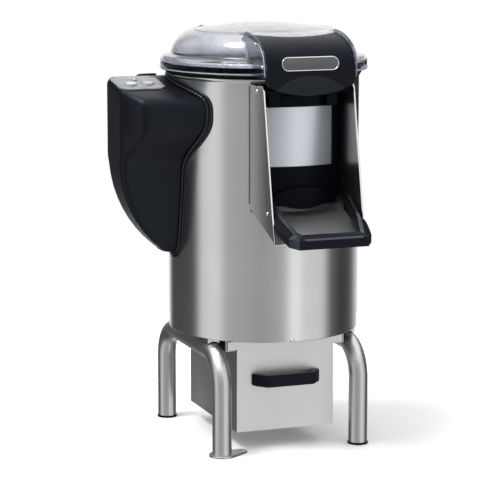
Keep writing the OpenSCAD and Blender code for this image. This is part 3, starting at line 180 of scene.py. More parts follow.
# Legs and drawer
LEG_X, LEG_FRONT, LEG_REAR = 152, -162, 195
RUN_Z, BEND_R, TUBE_R, FOOT_T = 210, 70, 20, 4
HANDLE_LOW, HANDLE_HIGH = 135.5, 160.5
HANDLE_OUTLINE = [
    (-76, -131), (-70, -146), (-53, -164), (-49, -166), (49, -166), (53, -164),
    (70, -146), (76, -131), (60, -131), (46, -154), (-46, -154), (-60, -131)
]

# Studio, in metres and degrees
FLOOR_R, FLOOR_Z = 1.3, -0.0004
FLAG_ENDS, FLAG_HEIGHTS = ((0.78, 1.0), (1.26, 0.48)), (0.33, 0.75)
CAMERA_BEARING = -111.0
SOFTBOXES = [
    (-180, 1.05), (-162, 1.0), (-148, 0.08), (-91, 0.10), (-80, 0.95), (-56, 1.0), (-46, 0.55), (0, 0.46),
    (26, 0.62), (35, 1.30), (44, 1.30), (50, 0.95), (78, 0.95), (88, 0.16), (110, 0.05), (127, 0.09),
    (137, 0.2), (148, 0.62), (165, 1.0)
]
CEILING_LIGHT, CEILING_RANGE = 1.5, (0.45, 0.8)
KEY_DIRECTION, KEY_LIGHT, KEY_RANGE = (-0.42, -0.06, 0.905), 18.0, (0.965, 0.99)
CAMERA_AT, CAMERA_TILT, CAMERA_TURN = (-1.5992, -4.1661, 1.1752), 80.35, -20.368
CAMERA_LENS, CAMERA_SENSOR = 159.9, 36.0


# Mesh tools


def bezier(start, pull, end, count):
    """Points of a quadratic curve."""
    t = np.linspace(0.0, 1.0, count)[:, None]
    start, pull, end = map(np.array, (start, pull, end))
    return (1 - t) ** 2 * start + 2 * t * (1 - t) * pull + t ** 2 * end


def smoothstep(low, high, value):
    t = np.clip((value - low) / (high - low), 0.0, 1.0)
    return t * t * (3 - 2 * t)


def resample(path, step):
    """A polyline's points at even steps along it."""
    path = np.array(path, float)
    run = np.concatenate([[0.0], np.cumsum(np.linalg.norm(np.diff(path, axis=0), axis=1))])
    at = np.linspace(0.0, run[-1], max(2, int(round(run[-1] / step)) + 1))
    return np.column_stack([np.interp(at, run, path[:, k]) for k in range(path.shape[1])])


def grid(rows, wrap_rows=False, wrap_cols=False, skip=None):
    """Quads over rows of points."""
    rows = np.array(rows, float)
    count, width = rows.shape[:2]
    faces = []
    for i in range(count if wrap_rows else count - 1):
        for j in range(width if wrap_cols else width - 1):
            if skip and skip(i, j):
                continue
            i2, j2 = (i + 1) % count, (j + 1) % width
            faces.append((i * width + j, i2 * width + j, i2 * width + j2, i * width + j2))
    return rows.reshape(-1, 3), faces


def capped(rows):
    """Rows of closed sections as a tube with flat ends."""
    verts, faces = grid(rows, False, True)
    n = len(rows[0])
    return verts, faces + [tuple(range(n)), tuple(range(len(verts) - n, len(verts)))]


def turn_points(profile, angles):
    """A profile of (radius, height) turned about the drum's axis; angle 0 is the front."""
    r, z = np.array(profile, float).T
    a = np.radians(angles)[:, None]
    return np.stack([r * np.sin(a), -r * np.cos(a), np.broadcast_to(z, (len(angles), len(z)))], axis=2)


def lathe(profile, steps=192):
    return grid(turn_points(profile, np.arange(steps) * 360.0 / steps), True, True)


def band(radius, sides, heights, columns, rows, at=DRUM_R):
    """A curved sheet round the drum, between two places across it and two heights."""
    angles = np.linspace(*np.degrees(np.arcsin(np.array(sides) / at)), columns)
    return grid(turn_points([(radius, z) for z in np.linspace(*heights, rows)], angles))


def prism(outline, low, high, axis):
    """An outline drawn out along an axis."""
    order = {"x": (2, 0, 1), "y": (0, 2, 1), "z": (0, 1, 2)}[axis]
    ends = [np.array([(*p, h) for p in outline], float)[:, order] for h in (low, high)]
    n = len(outline)
    sides = [(i, (i + 1) % n, n + (i + 1) % n, n + i) for i in range(n)]
    return np.concatenate(ends), [tuple(range(n)), tuple(range(n, 2 * n))] + sides


def sweep(path, ups, section, closed=False, sizes=1.0):
    """A section of (side, up) points carried along a path."""
    path, ups, section = (np.array(v, float) for v in (path, ups, section))
    ups = np.broadcast_to(ups, path.shape)
    ahead = np.roll(path, -1, 0) - np.roll(path, 1, 0) if closed else np.gradient(path, axis=0)
    side = np.cross(ahead, ups)
    side /= np.linalg.norm(side, axis=1)[:, None]
    ups = np.cross(side, ahead)
    ups /= np.linalg.norm(ups, axis=1)[:, None]
    sizes = np.broadcast_to(sizes, len(path))[:, None, None]
    offsets = section[None, :, :1] * side[:, None] + section[None, :, 1:] * ups[:, None]
    rows = path[:, None] + sizes * offsets
    return grid(rows, True, True) if closed else capped(rows)


def circle(radius, count, flat=1.0):
    a = np.arange(count) * 2 * math.pi / count
    return np.column_stack([radius * np.cos(a), flat * radius * np.sin(a)])


def join(*parts):
    verts, faces = [], []
    for points, quads in parts:
        faces += [tuple(len(verts) + k for k in face) for face in quads]
        verts += [tuple(p) for p in points]
    return verts, faces


def both_sides(part):
    """A part of the right side together with its mirror image."""
    return join(part, (np.array(part[0]) * (-1, 1, 1), part[1]))


def finish_modifiers(obj, bevel, segments, weld=False):
    if weld:
        obj.modifiers.new("weld", "WELD").merge_threshold = 0.00002
    if bevel:
        edge = obj.modifiers.new("edges", "BEVEL")
        edge.width = bevel * MM
        edge.segments = segments
        edge.limit_method = "ANGLE"
        edge.angle_limit = math.radians(40)
        obj.modifiers.new("normals", "WEIGHTED_NORMAL").keep_sharp = not weld


def place(name, mesh):
    obj = bpy.data.objects.new(name, mesh)
    bpy.context.scene.collection.objects.link(obj)
    return obj


def piece(name, part, mat, body, replaces=(), bevel=0.0, segments=2, solid=0.0, sharp=38, recalc=True):
    """A new mesh that rides on a body."""
    mesh = bpy.data.meshes.new(name)
    mesh.from_pydata([tuple(c * MM for c in v) for v in part[0]], [], part[1])
    bm = bmesh.new()
    bm.from_mesh(mesh)
    bmesh.ops.remove_doubles(bm, verts=bm.verts, dist=1e-6)
    if recalc:
        bmesh.ops.recalc_face_normals(bm, faces=bm.faces)
    bm.to_mesh(mesh)
    bm.free()
    mesh.shade_smooth()
    mesh.set_sharp_from_angle(angle=math.radians(sharp))
    for m in mat if isinstance(mat, list) else [mat]:
        mesh.materials.append(m)
    obj = place(name, mesh)
    if solid:
        thick = obj.modifiers.new("sheet", "SOLIDIFY")
        thick.thickness = solid * MM
        thick.offset = -1.0
        thick.use_even_offset = True
    finish_modifiers(obj, bevel, segments)
    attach(obj, body)
    if replaces:
        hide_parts(*replaces)
    return obj


def dress(mat, *names, bevel):
    """Finishes CAD nodes that stay: material, welded corners and softened edges."""
    for name in names:
        obj = NODES[name]
        mesh = obj.data
        mesh.materials.clear()
        mesh.materials.append(mat)
        if "custom_normal" in mesh.attributes:
            mesh.attributes.remove(mesh.attributes["custom_normal"])
        mesh.shade_smooth()
        finish_modifiers(obj, bevel, 2, weld=True)


# Material tools

BLUE_BLACK = (0.8, 0.95, 1.6)
SKY_TINT = (0.78, 0.87, 1.0)


class Look:
    """A material under construction: one shader and the nodes that feed it."""

    def __init__(self, name, **sockets):
        self.mat = bpy.data.materials.new(name)
        self.mat.use_nodes = True
        self.tree = self.mat.node_tree
        self.shader = self.tree.nodes["Principled BSDF"]
        for key, value in sockets.items():
            self.shader.inputs[key.replace("_", " ")].default_value = value
        self.place = self.node("ShaderNodeTexCoord").outputs["Object"]

    def node(self, kind, **inputs):
        made = self.tree.nodes.new(kind)
        for key, value in inputs.items():
            socket = made.inputs[key.replace("_", " ")]
            if isinstance(value, bpy.types.NodeSocket):
                self.tree.links.new(value, socket)
            else:
                socket.default_value = value
        return made

    def noise(self, stretch, detail=3.0, roughness=0.55):
        """Noise stretched by three numbers, or evenly by one."""
        stretch = np.broadcast_to(stretch, 3).tolist()
        spread = self.node("ShaderNodeMapping", Vector=self.place, Scale=stretch)
        return self.node("ShaderNodeTexNoise", Vector=spread.outputs[0], Scale=1.0, Detail=detail,
                         Roughness=roughness).outputs[0]

    def ramp(self, factor, *stops):
        made = self.node("ShaderNodeValToRGB", Fac=factor)
        set_stops(made, stops)
        return made.outputs[0]

    def range(self, factor, low, high):
        made = self.node("ShaderNodeMapRange", Value=factor)
        for socket, value in zip(made.inputs[1:5], (0.3, 0.7, low, high)):
            socket.default_value = value
        return made.outputs[0]

    def multiply(self, first, second):
        made = self.tree.nodes.new("ShaderNodeMix")
        made.data_type = "RGBA"
        made.blend_type = "MULTIPLY"
        made.inputs[0].default_value = 1.0
        self.tree.links.new(first, made.inputs[6])
        self.tree.links.new(second, made.inputs[7])
        return made.outputs[2]

    def feed(self, **sockets):
        for key, value in sockets.items():
            self.tree.links.new(value, self.shader.inputs[key.replace("_", " ")])

    def bump(self, height, strength, depth_mm):
        made = self.node("ShaderNodeBump", Height=height, Strength=strength, Distance=depth_mm * MM)
        self.feed(Normal=made.outputs[0])


def set_stops(ramp_node, stops):
    points = ramp_node.color_ramp.elements
    while len(points) < len(stops):
        points.new(0.5)
    for point, (at, colour) in zip(points, stops):
        point.position = at
        point.color = (*colour, 1.0)


def grey(value, tint=(1, 1, 1)):
    return tuple(value * t for t in tint)


def steel(name, dark, light, rough, streak, cloud=5.0, anisotropic=0.0, turned=False, tint=(1, 1, 1),
          relief=0.06, metal=1.0):
    """Brushed stainless steel: fine streaks along the brushing, soft clouds and uneven gloss."""
    look = Look(name, Metallic=metal, Anisotropic=anisotropic, Anisotropic_Rotation=0.25 * turned)
    if turned:
        tangent = look.tree.nodes.new("ShaderNodeTangent")
        tangent.direction_type = "RADIAL"
        tangent.axis = "Z"
        look.feed(Tangent=tangent.outputs[0])
    lines = look.noise(streak, detail=4.0, roughness=0.7)
    clouds = look.noise(cloud, detail=2.0)
    brushed = look.ramp(lines, (0.25, grey(dark, tint)), (0.75, grey(light, tint)))
    stained = look.ramp(clouds, (0.3, grey(0.93)), (0.7, grey(1.0)))
    look.feed(Base_Color=look.multiply(brushed, stained), Roughness=look.range(lines, *rough))
    look.bump(lines, relief, 0.1)
    return look.mat


def moulded(name, base, rough, grain=900.0, depth=0.12, tint=(1, 1, 1), spec=0.5, patches=7.0,
            spread=(0.82, 1.2)):
    """Moulded plastic or rubber: a fine spark-eroded grain, faint wear and uneven gloss."""
    look = Look(name, Specular_IOR_Level=spec, Specular_Tint=(*SKY_TINT, 1.0))
    clouds = look.noise(patches, detail=4.0)
    dark, light = (grey(s * base, tint) for s in spread)
    look.feed(Base_Color=look.ramp(clouds, (0.3, dark), (0.75, light)), Roughness=look.range(clouds, *rough))
    look.bump(look.noise(grain, detail=2.0), 0.25, depth)
    return look.mat


def clear_plastic(name, tone, rough, ior, coat=0.0):
    """Clear plastic, which a rough inside under a clear coat makes hazy."""
    look = Look(name, Transmission_Weight=1.0, IOR=ior, Coat_Weight=coat, Coat_Roughness=0.03, Coat_IOR=1.45)
    hazy = look.noise(9.0, detail=4.0)
    colour = look.ramp(hazy, (0.3, grey(0.97, tone)), (0.7, tone))
    look.feed(Base_Color=colour, Roughness=look.range(hazy, *rough))
    return look.mat


def glossy(name, colour, emission=None):
    """A small shiny moulding, such as a key or a lens."""
    look = Look(name, Coat_Weight=0.4, Coat_Roughness=0.08)
    if emission:
        look.shader.inputs["Emission Color"].default_value = (*colour, 1.0)
        look.shader.inputs["Emission Strength"].default_value = emission
    clouds = look.noise(60.0)
    base = look.ramp(clouds, (0.3, grey(0.85, colour)), (0.7, colour))
    look.feed(Base_Color=base, Roughness=look.range(clouds, 0.12, 0.22))
    return look.mat


DRUM_STEEL = steel("drum_brushed_steel", 0.615, 0.645, (0.255, 0.272), (2.0, 2.0, 1100.0), turned=True,
                   anisotropic=0.6, relief=0.006)
PANEL_STEEL = steel("door_panel_steel", 0.64, 0.70, (0.36, 0.42), (3.0, 3.0, 1400.0), turned=True,
                    anisotropic=0.3, tint=(0.93, 0.98, 1.06))
SATIN_STEEL = steel("satin_steel", 0.50, 0.60, (0.30, 0.40), (300.0, 6.0, 40.0))
DRAWER_STEEL = steel("drawer_satin_steel", 0.60, 0.64, (0.38, 0.44), 240.0, cloud=7.0)
CHUTE_STEEL = steel("chute_satin_steel", 0.46, 0.54, (0.26, 0.33), (8.0, 500.0, 12.0), relief=0.03)
# Chute steel lightened well above the plates' and made partly diffuse: painted light on the chute's floor
FLOOR_STEEL_PAINTED_LIGHT = steel("chute_floor_painted_light_steel", 0.82, 0.90, (0.28, 0.36), (8.0, 300.0, 12.0), relief=0.02,
                    metal=0.93)
# Steel darkened far below the chute's own: painted shade for the sill under the door and the tabs under the
# spout's arms
SILL_STEEL_PAINTED_SHADE = steel("door_sill_painted_shade_steel", 0.13, 0.18, (0.4, 0.5), (8.0, 8.0, 500.0))
LEG_STEEL = steel("leg_tube_steel", 0.56, 0.62, (0.32, 0.4), (140.0, 140.0, 14.0))
BRIGHT_STEEL = steel("bright_steel", 0.72, 0.80, (0.12, 0.2), 300.0)
CAST_IRON = steel("cast_drive_iron", 0.24, 0.33, (0.5, 0.65), 220.0)
PLATED = steel("plated_brass", 0.58, 0.66, (0.18, 0.28), 200.0, tint=(1.0, 0.97, 0.9))
GRIT = moulded("abrasive_grit", 0.09, (0.75, 0.95), grain=420.0, depth=0.9)
MOTOR_PAINT = moulded("motor_paint", 0.12, (0.35, 0.5), grain=260.0, depth=0.2, tint=(0.8, 1.0, 1.25))
BLACK = moulded("black_plastic", 0.0045, (0.34, 0.42), tint=BLUE_BLACK, spec=0.12)
# Black plastic made lighter and glossier: painted light on the visor's raised grip
GRIP_PLASTIC_PAINTED_LIGHT = moulded("grip_plastic_painted_light", 0.0085, (0.34, 0.42), tint=(0.85, 0.96, 1.4), spec=0.2)
# Pale opaque plastic: a painted highlight along the lid's lower lip and the cheeks' front beads
RIM_PAINTED_HIGHLIGHT = moulded("rim_painted_highlight_plastic", 0.42, (0.12, 0.2), tint=(0.92, 0.97, 1.1), spec=0.5)
# Copies of the spout's black plastic: lighter and glossier for painted light on the ridge, and without
# reflection for painted shade on the arms' outer faces
SPOUT_RIDGE_PAINTED_LIGHT = moulded("spout_ridge_painted_light_plastic", 0.007, (0.3, 0.36), tint=BLUE_BLACK, spec=0.6)
SPOUT_PLASTIC = moulded("spout_plastic", 0.004, (0.38, 0.46), tint=BLUE_BLACK, spec=0.14)
SPOUT_MATT_PAINTED_SHADE = moulded("spout_matt_painted_shade_plastic", 0.013, (0.7, 0.8), tint=(0.95, 1.0, 1.2), spec=0.0)
SPOUT_TRIM = moulded("spout_trim", 0.012, (0.16, 0.22), tint=BLUE_BLACK, spec=0.95)
DARK_HOUSING = moulded("housing_plastic", 0.0045, (0.36, 0.44), tint=BLUE_BLACK, spec=0.2)
BEAD_RUBBER = moulded("bead_rubber", 0.003, (0.2, 0.26), grain=600.0, tint=BLUE_BLACK, spec=0.5)
GASKET_RUBBER = moulded("gasket_rubber", 0.002, (0.5, 0.6), grain=600.0, spec=0.08)
RUBBER = moulded("black_rubber", 0.003, (0.42, 0.6), grain=600.0, spec=0.16)
# Black plastic darker and less glossy than the rest: painted shade for the door's surround, brow and hinge
# sleeve under the visor
DOOR_PLASTIC_PAINTED_SHADE = moulded("door_plastic_painted_shade", 0.003, (0.36, 0.46), tint=BLUE_BLACK, spec=0.07)
LABEL = moulded("panel_label", 0.19, (0.25, 0.5), grain=500.0, tint=(0.97, 1.0, 1.05), patches=45.0,
                spread=(0.6, 1.7))
CASE = moulded("contactor_case", 0.62, (0.45, 0.6), grain=500.0, tint=(1.0, 0.98, 0.94))
HAZY = clear_plastic("hazy_lid", (0.95, 0.958, 0.98), (0.22, 0.3), 1.18, coat=1.0)
# The lid's clear plastic tinted dark for the cheeks: painted shade
HAZY_CHEEK_PAINTED_SHADE = clear_plastic("hazy_cheek_painted_shade", (0.42, 0.45, 0.52), (0.12, 0.18), 1.2, coat=1.0)
CLEAR = clear_plastic("clear_skirt", (0.50, 0.54, 0.64), (0.0, 0.02), 1.14)
GLOSS_RIM = clear_plastic("glossy_rim", (0.70, 0.74, 0.84), (0.0, 0.02), 1.28, coat=1.0)
BADGE_FACE = moulded("badge_face", 0.07, (0.3, 0.4), grain=1500.0)
GREEN = glossy("green_button", (0.46, 0.56, 0.49))
RED = glossy("red_button", (0.42, 0.33, 0.325))
LAMP = glossy("lamp_lens", (0.42, 0.41, 0.36), emission=0.05)


# Drum


def drum():
    edge = math.degrees(math.asin(WINDOW_HALF / DRUM_R))
    angles = np.sort(np.concatenate([np.arange(-179.0, 180.0, 2.0), [-edge, edge]]))
    heights = np.unique(np.concatenate([[WINDOW_LOW, WINDOW_HIGH], WALL_LEVELS]))
    profile = DRUM_FOOT + [(DRUM_R, z) for z in heights] + DRUM_RIM
    levels = [z for _, z in profile]

    def in_window(i, j):
        i2 = (i + 1) % len(angles)
        inside = abs(angles[i]) <= edge + 1e-6 and abs(angles[i2]) <= edge + 1e-6
        return inside and levels[j] >= WINDOW_LOW - 1e-6 and levels[j + 1] <= WINDOW_HIGH + 1e-6

    wall = grid(turn_points(profile, angles), wrap_rows=True, skip=in_window)
    piece("drum_wall", wall, DRUM_STEEL, "machine", ["drum_shell"], solid=SHEET, recalc=False)
    seam_levels = np.arange(DRUM_LOW + 4.0, SEAM_TOP, SEAM_STEP)
    line = turn_points([(DRUM_R + 0.1, z) for z in seam_levels], [SEAM_ANGLE])[0]
    out = turn_points([(1.0, 0.0)], [SEAM_ANGLE])[0][0]
    piece("drum_seam", sweep(line, out, SEAM_SECTION), SATIN_STEEL, "machine")


# Lid


def dome_profile(inset, above):
    """The dome from a height on its side to the middle of the crown."""
    foot = (DOME_FOOT[0] - inset, DOME_FOOT[1])
    pull = (DOME_PULL[0] - 0.67 * inset, DOME_PULL[1] - 0.92 * inset)
    edge_r = DOME_EDGE_R - 0.5 * inset
    side = bezier(foot, pull, (edge_r, DOME_EDGE_Z - inset), 33)
    rise = CROWN_Z - DOME_EDGE_Z
    crown_r = (DOME_EDGE_R ** 2 + rise ** 2) / (2 * rise)
    r = np.linspace(edge_r, 0.0, 22)[1:]
    crown = np.column_stack([r, CROWN_Z - inset - crown_r + np.sqrt(crown_r ** 2 - r ** 2)])
    return np.concatenate([side[side[:, 1] > above], crown])


def outer_height(r):
    """Height of the lid's outer face at a radius inside its rim."""
    points = np.concatenate([RIM_SHOULDER, dome_profile(0.0, SIDE_FROM_Z)])[::-1]
    return np.interp(r, points[:, 0], points[:, 1])


def lid_bowl():
    """The dome and its rim: hazy above, clear in the skirt, glossy along the rim, with a pale painted
    highlight at the lip.
    """
    outside = dome_profile(0.0, SIDE_FROM_Z)
    inside = dome_profile(LID_T, DOME_FOOT[1])[::-1]
    shell = lathe(np.concatenate([RIM_PROFILE, outside, inside, INNER_RIM]))
    bowl = piece("lid_bowl", shell, [HAZY, CLEAR, GLOSS_RIM, RIM_PAINTED_HIGHLIGHT], "lid", ["lid_dome"],
                 sharp=60)
    for face in bowl.data.polygons:
        z, r = face.center.z / MM, face.center.xy.length / MM
        in_wall = SKIRT_WALL[0] < z < SKIRT_WALL[1]
        # The lip's outer bulge gets the pale plastic, a painted highlight
        lip_highlight = SKIRT_LIP[0] < z < SKIRT_LIP[1] and r > SKIRT_LIP_R
        face.material_index = 0 if z > RIM_PROFILE[-1][1] else 1 if in_wall else 3 if lip_highlight else 2
    crease = [(DOME_EDGE_R + r, DOME_EDGE_Z + 0.2 + z) for r, z in circle(CREASE_R, 10)]
    piece("dome_crease", lathe(crease), GLOSS_RIM, "lid")


def lid_lugs():
    turn = np.radians(np.linspace(*EYE_TURN, 14))
    eye = [(HINGE_Y + EYE_R * math.cos(a), HINGE_Z + EYE_R * math.sin(a)) for a in turn]
    lug = prism(LUG_TOP + eye + LUG_FOOT, LUG_IN, LUG_OUT, "x")
    piece("lid_lugs", both_sides(lug), GLOSS_RIM, "lid", ["lid_dome"], bevel=2.0, segments=3)


def rim_gasket():
    count = GASKET_TEETH * 4
    angles = np.arange(count) * 360.0 / count
    proud, sunk = (turn_points(GASKET_CHANNEL + face, angles) for face in (GASKET_PROUD, GASKET_SUNK))
    tooth = (np.arange(count) % 4 < 2)[:, None, None]
    piece("gasket_ring", grid(np.where(tooth, proud, sunk), True, True), GASKET_RUBBER, "machine",
          ["rim_gasket"])


# Hood, visor and badge


def hood_line(lift):
    """The hood's curve as seen along X, from its back over its nose to its lower edge."""
    top, foot_y = HOOD_TOP + lift, NOSE_FOOT[0] - lift
    back = [(y, top) for y in np.arange(HOOD_BACK_Y, HOOD_TURN_Y, -HOOD_STEP)]
    nose = bezier((HOOD_TURN_Y, top), (NOSE_PULL[0] - lift, NOSE_PULL[1] + lift), (foot_y, NOSE_FOOT[1]), 60)
    face = [(foot_y - FACE_LEAN * t, NOSE_FOOT[1] - FACE_DROP * t) for t in np.linspace(0.0, 1.0, 18)[1:]]
    return resample(np.concatenate([back, nose, face]), 1.5)


HOOD = hood_line(0.0)
HOOD_RUN = np.concatenate([[0.0], np.cumsum(np.linalg.norm(np.diff(HOOD, axis=0), axis=1))])
HOOD_AHEAD = np.gradient(HOOD, axis=0)
HOOD_OUT = np.column_stack([HOOD_AHEAD[:, 1], -HOOD_AHEAD[:, 0]])
HOOD_OUT /= np.linalg.norm(HOOD_OUT, axis=1)[:, None]
# Y falls over the hood's first points, and Z from near the end of its flat top
FIRST_POINTS, LAST_POINTS = slice(0, 90), slice(20, None)


def on_hood(x, run, lift=0.0):
    """A point on the hood at a distance along its curve, lifted off its face."""
    y = np.interp(run, HOOD_RUN, HOOD[:, 0]) + lift * np.interp(run, HOOD_RUN, HOOD_OUT[:, 0])
    z = np.interp(run, HOOD_RUN, HOOD[:, 1]) + lift * np.interp(run, HOOD_RUN, HOOD_OUT[:, 1])
    return np.stack(np.broadcast_arrays(x, y, z), axis=-1)


def visor_back_run(x):
    """Where the visor's curved back edge lies along the hood."""
    y = VISOR_BACK_Y - math.sqrt(VISOR_BACK_R ** 2 - x * x)
    return np.interp(-y, -HOOD[FIRST_POINTS, 0], HOOD_RUN[FIRST_POINTS])


def run_at_height(z):
    return np.interp(-z, -HOOD[LAST_POINTS, 1], HOOD_RUN[LAST_POINTS])


def hood():
    """The hood's clear roof, and its cheeks in clear plastic darkened with painted shade, with a fillet to
    the dome and a bead along the front in pale plastic, a painted highlight.
    """
    cheek_x = HOOD_HALF - CHEEK_T / 2
    brow = hood_line(CHEEK_LIP)
    on_top = (brow[:, 0] < CHEEK_HOOK_END_Y) & (brow[:, 1] > CHEEK_FRONT[0][1])
    top = brow[on_top][::3].tolist()
    foot_y = -math.sqrt(CHEEK_FOOT_R ** 2 - cheek_x ** 2)
    back_r = np.linspace(*CHEEK_BACK_R, 20)
    back = [(-math.sqrt(r * r - cheek_x ** 2), outer_height(r) - 1.0) for r in back_r]
    outline = CHEEK_HOOK + top + CHEEK_FRONT + [(foot_y, CHEEK_LOW), (foot_y, CHEEK_FOOT_TOP)] + back
    cheek = prism(outline, HOOD_HALF - CHEEK_T, HOOD_HALF, "x")
    # The cheeks' dark tint is painted shade
    piece("hood_cheeks", both_sides(cheek), HAZY_CHEEK_PAINTED_SHADE, "lid", ["lid_dome"], bevel=0.9)

    lines = np.linspace(HOOD_HALF - CHEEK_T, CHEEK_T - HOOD_HALF, 61)
    roof = [on_hood(x, np.linspace(0.0, visor_back_run(min(abs(x), VISOR_HALF)) - 0.4, 40)) for x in lines]
    piece("hood_roof", grid(roof), HAZY, "lid", ["lid_dome"], solid=HOOD_T, recalc=False)

    seam_r = np.linspace(*CHEEK_SEAM_R, 40)
    seam = [(HOOD_HALF - 0.4, -math.sqrt(r * r - HOOD_HALF ** 2), outer_height(r) + 0.4) for r in seam_r]
    fillet = sweep(resample(seam, 2.0), (1.0, 0.0, 0.3), circle(CHEEK_FILLET_R, 16))
    piece("cheek_fillets", both_sides(fillet), GLOSS_RIM, "lid", ["lid_dome"])
    # Beads of pale plastic along the cheeks' fronts: a painted highlight line
    edge = [(HOOD_HALF + 0.5, y, z) for y, z in hood_line(1.5) if CHEEK_LOW + 3.0 < z < CHEEK_BEAD_TOP]
    bead = sweep(resample(edge, 2.0), (1.0, 0.0, 0.0), circle(CHEEK_BEAD_R, 12))
    piece("cheek_beads", both_sides(bead), RIM_PAINTED_HIGHLIGHT, "lid")


def visor():
    half = VISOR_HALF
    corner_r = (half ** 2 + VISOR_CORNER_RISE ** 2) / (2 * VISOR_CORNER_RISE)
    grip_z = GRIP_TOP - GRIP_R
    rows = []
    for x in np.linspace(half, -half, 111):
        low = VISOR_LOW + corner_r - math.sqrt(corner_r ** 2 - x * x)
        low += VISOR_TIP_RISE * smoothstep(half - VISOR_TIP_W, half, abs(x)) ** 2
        run = np.linspace(visor_back_run(x), run_at_height(low), 100)
        reach = GRIP_R - np.hypot(x, on_hood(x, run)[:, 2] - grip_z)
        rows.append(on_hood(x, run, GRIP_RISE * smoothstep(0.0, GRIP_SLOPE, reach)))
    shell = piece("visor_shell", grid(rows), [BLACK, GRIP_PLASTIC_PAINTED_LIGHT], "lid", ["lid_visor"],
                  bevel=1.2, solid=VISOR_T, recalc=False)
    # Faces on the raised grip get the lighter plastic, a painted light
    for face in shell.data.polygons:
        from_middle = math.hypot(face.center.x / MM, face.center.z / MM - grip_z)
        face.material_index = int(from_middle < GRIP_R - GRIP_SLOPE / 2)


def badge():
    """A blank plate with round ends and a bright frame."""
    count = 112
    turn = -np.arange(count) * 2 * math.pi / count
    straight = (BADGE_L - BADGE_H) / 2
    mid = run_at_height(BADGE_Z)

    def ring(inset, lift):
        r = BADGE_H / 2 - inset
        x = np.where(np.cos(turn) >= 0, straight, -straight) + r * np.cos(turn)
        return on_hood(x, mid - r * np.sin(turn), lift)

    rings = [ring(*step) for step in BADGE_FRAME + BADGE_INSIDE]
    plate = piece("badge_plate", grid(rings, False, True), [BRIGHT_STEEL, BADGE_FACE], "lid",
                  ["visor_badge"], recalc=False, sharp=50)
    face_from = len(BADGE_FRAME) * count
    for face in plate.data.polygons:
        face.material_index = int(face.index >= face_from)


# Screws and rivets


def head(place, out, r, height, socket=0.0):
    """A domed screw or rivet head on a face; with a hexagon socket where one is given."""
    count = 24
    out = np.array(out, float)
    side = np.array((0.0, 0.0, 1.0)) if abs(out[2]) < 0.9 else np.array((1.0, 0.0, 0.0))
    side = np.cross(out, side) / np.linalg.norm(np.cross(out, side))
    other = np.cross(out, side)
    a = np.arange(count) * 2 * math.pi / count
    hexagon = math.cos(math.pi / 6) / np.cos((a + math.pi / 6) % (math.pi / 3) - math.pi / 6)
    steps = [(1.0, -0.2, 1), (1.0, 0.25, 1), (0.94, 0.62, 1), (0.78, 0.88, 1), (0.6, 0.98, 1)]
    steps += [(socket, 1.0, hexagon), (socket * 0.97, 0.35, hexagon)] if socket else [(0.3, 1.05, 1)]
    rows = []
    for share, up, shape in steps + [(0.0, steps[-1][1], 1)]:
        ring = (np.cos(a) * shape)[:, None] * side + (np.sin(a) * shape)[:, None] * other
        rows.append(np.array(place) + share * r * ring + up * height * out)
    return grid(rows, False, True)


def fasteners():
    screws, rivets, pins = [], [], []
    for s in (-1, 1):
        screws.append(head((s * PLATE_OUT, *CHUTE_SCREW), (s, 0, 0), *SCREW_HEAD))
        rivets += [head((s * HOOD_HALF, *rivet), (s, 0, 0), *RIVET_HEAD) for rivet in RIVETS]
        pins.append(head((s * PLATE_OUT, *DOOR_PIN), (s, 0, 0), *PIN_HEAD))
    piece("chute_screw_heads", join(*screws), BRIGHT_STEEL, "machine", ["chute_screws"])
    piece("rivet_heads", join(*rivets), BRIGHT_STEEL, "lid", ["visor_rivets"])
    foot_screw = head(FOOT_SCREW, FOOT_SCREW_OUT, *FOOT_SCREW_HEAD)
    piece("drum_foot_screw", foot_screw, BRIGHT_STEEL, "machine")
    line = [(x, *DOOR_PIN) for x in np.linspace(-PLATE_OUT, PLATE_OUT, 9)]
    rod = sweep(line, (0, 0, 1), circle(DOOR_PIN_R, 24))
    piece("door_pin", join(rod, *pins), BRIGHT_STEEL, "machine", ["door_hinge_pin"])


# Chute, spout and door


def plate_hems():
    """A bright folded hem along each chute plate's front edge."""
    (y, z), r = PLATE_CORNER, PLATE_CORNER_R
    corner = [(y - r * math.cos(a), z + r * math.sin(a)) for a in np.radians(np.linspace(0, 90, 12))]
    edge = resample([PLATE_LOW, PLATE_KNEE] + corner + [PLATE_TOP], 6.0)
    for side, name in ((-1, "left_chute_hem"), (1, "right_chute_hem")):
        middle = side * (PLATE_IN + PLATE_OUT) / 2
        path = np.column_stack([np.full(len(edge), middle), edge])
        out = np.cross((1.0, 0.0, 0.0), np.gradient(path, axis=0))
        piece(name, sweep(path, out, HEM_SECTION), BRIGHT_STEEL, "machine")


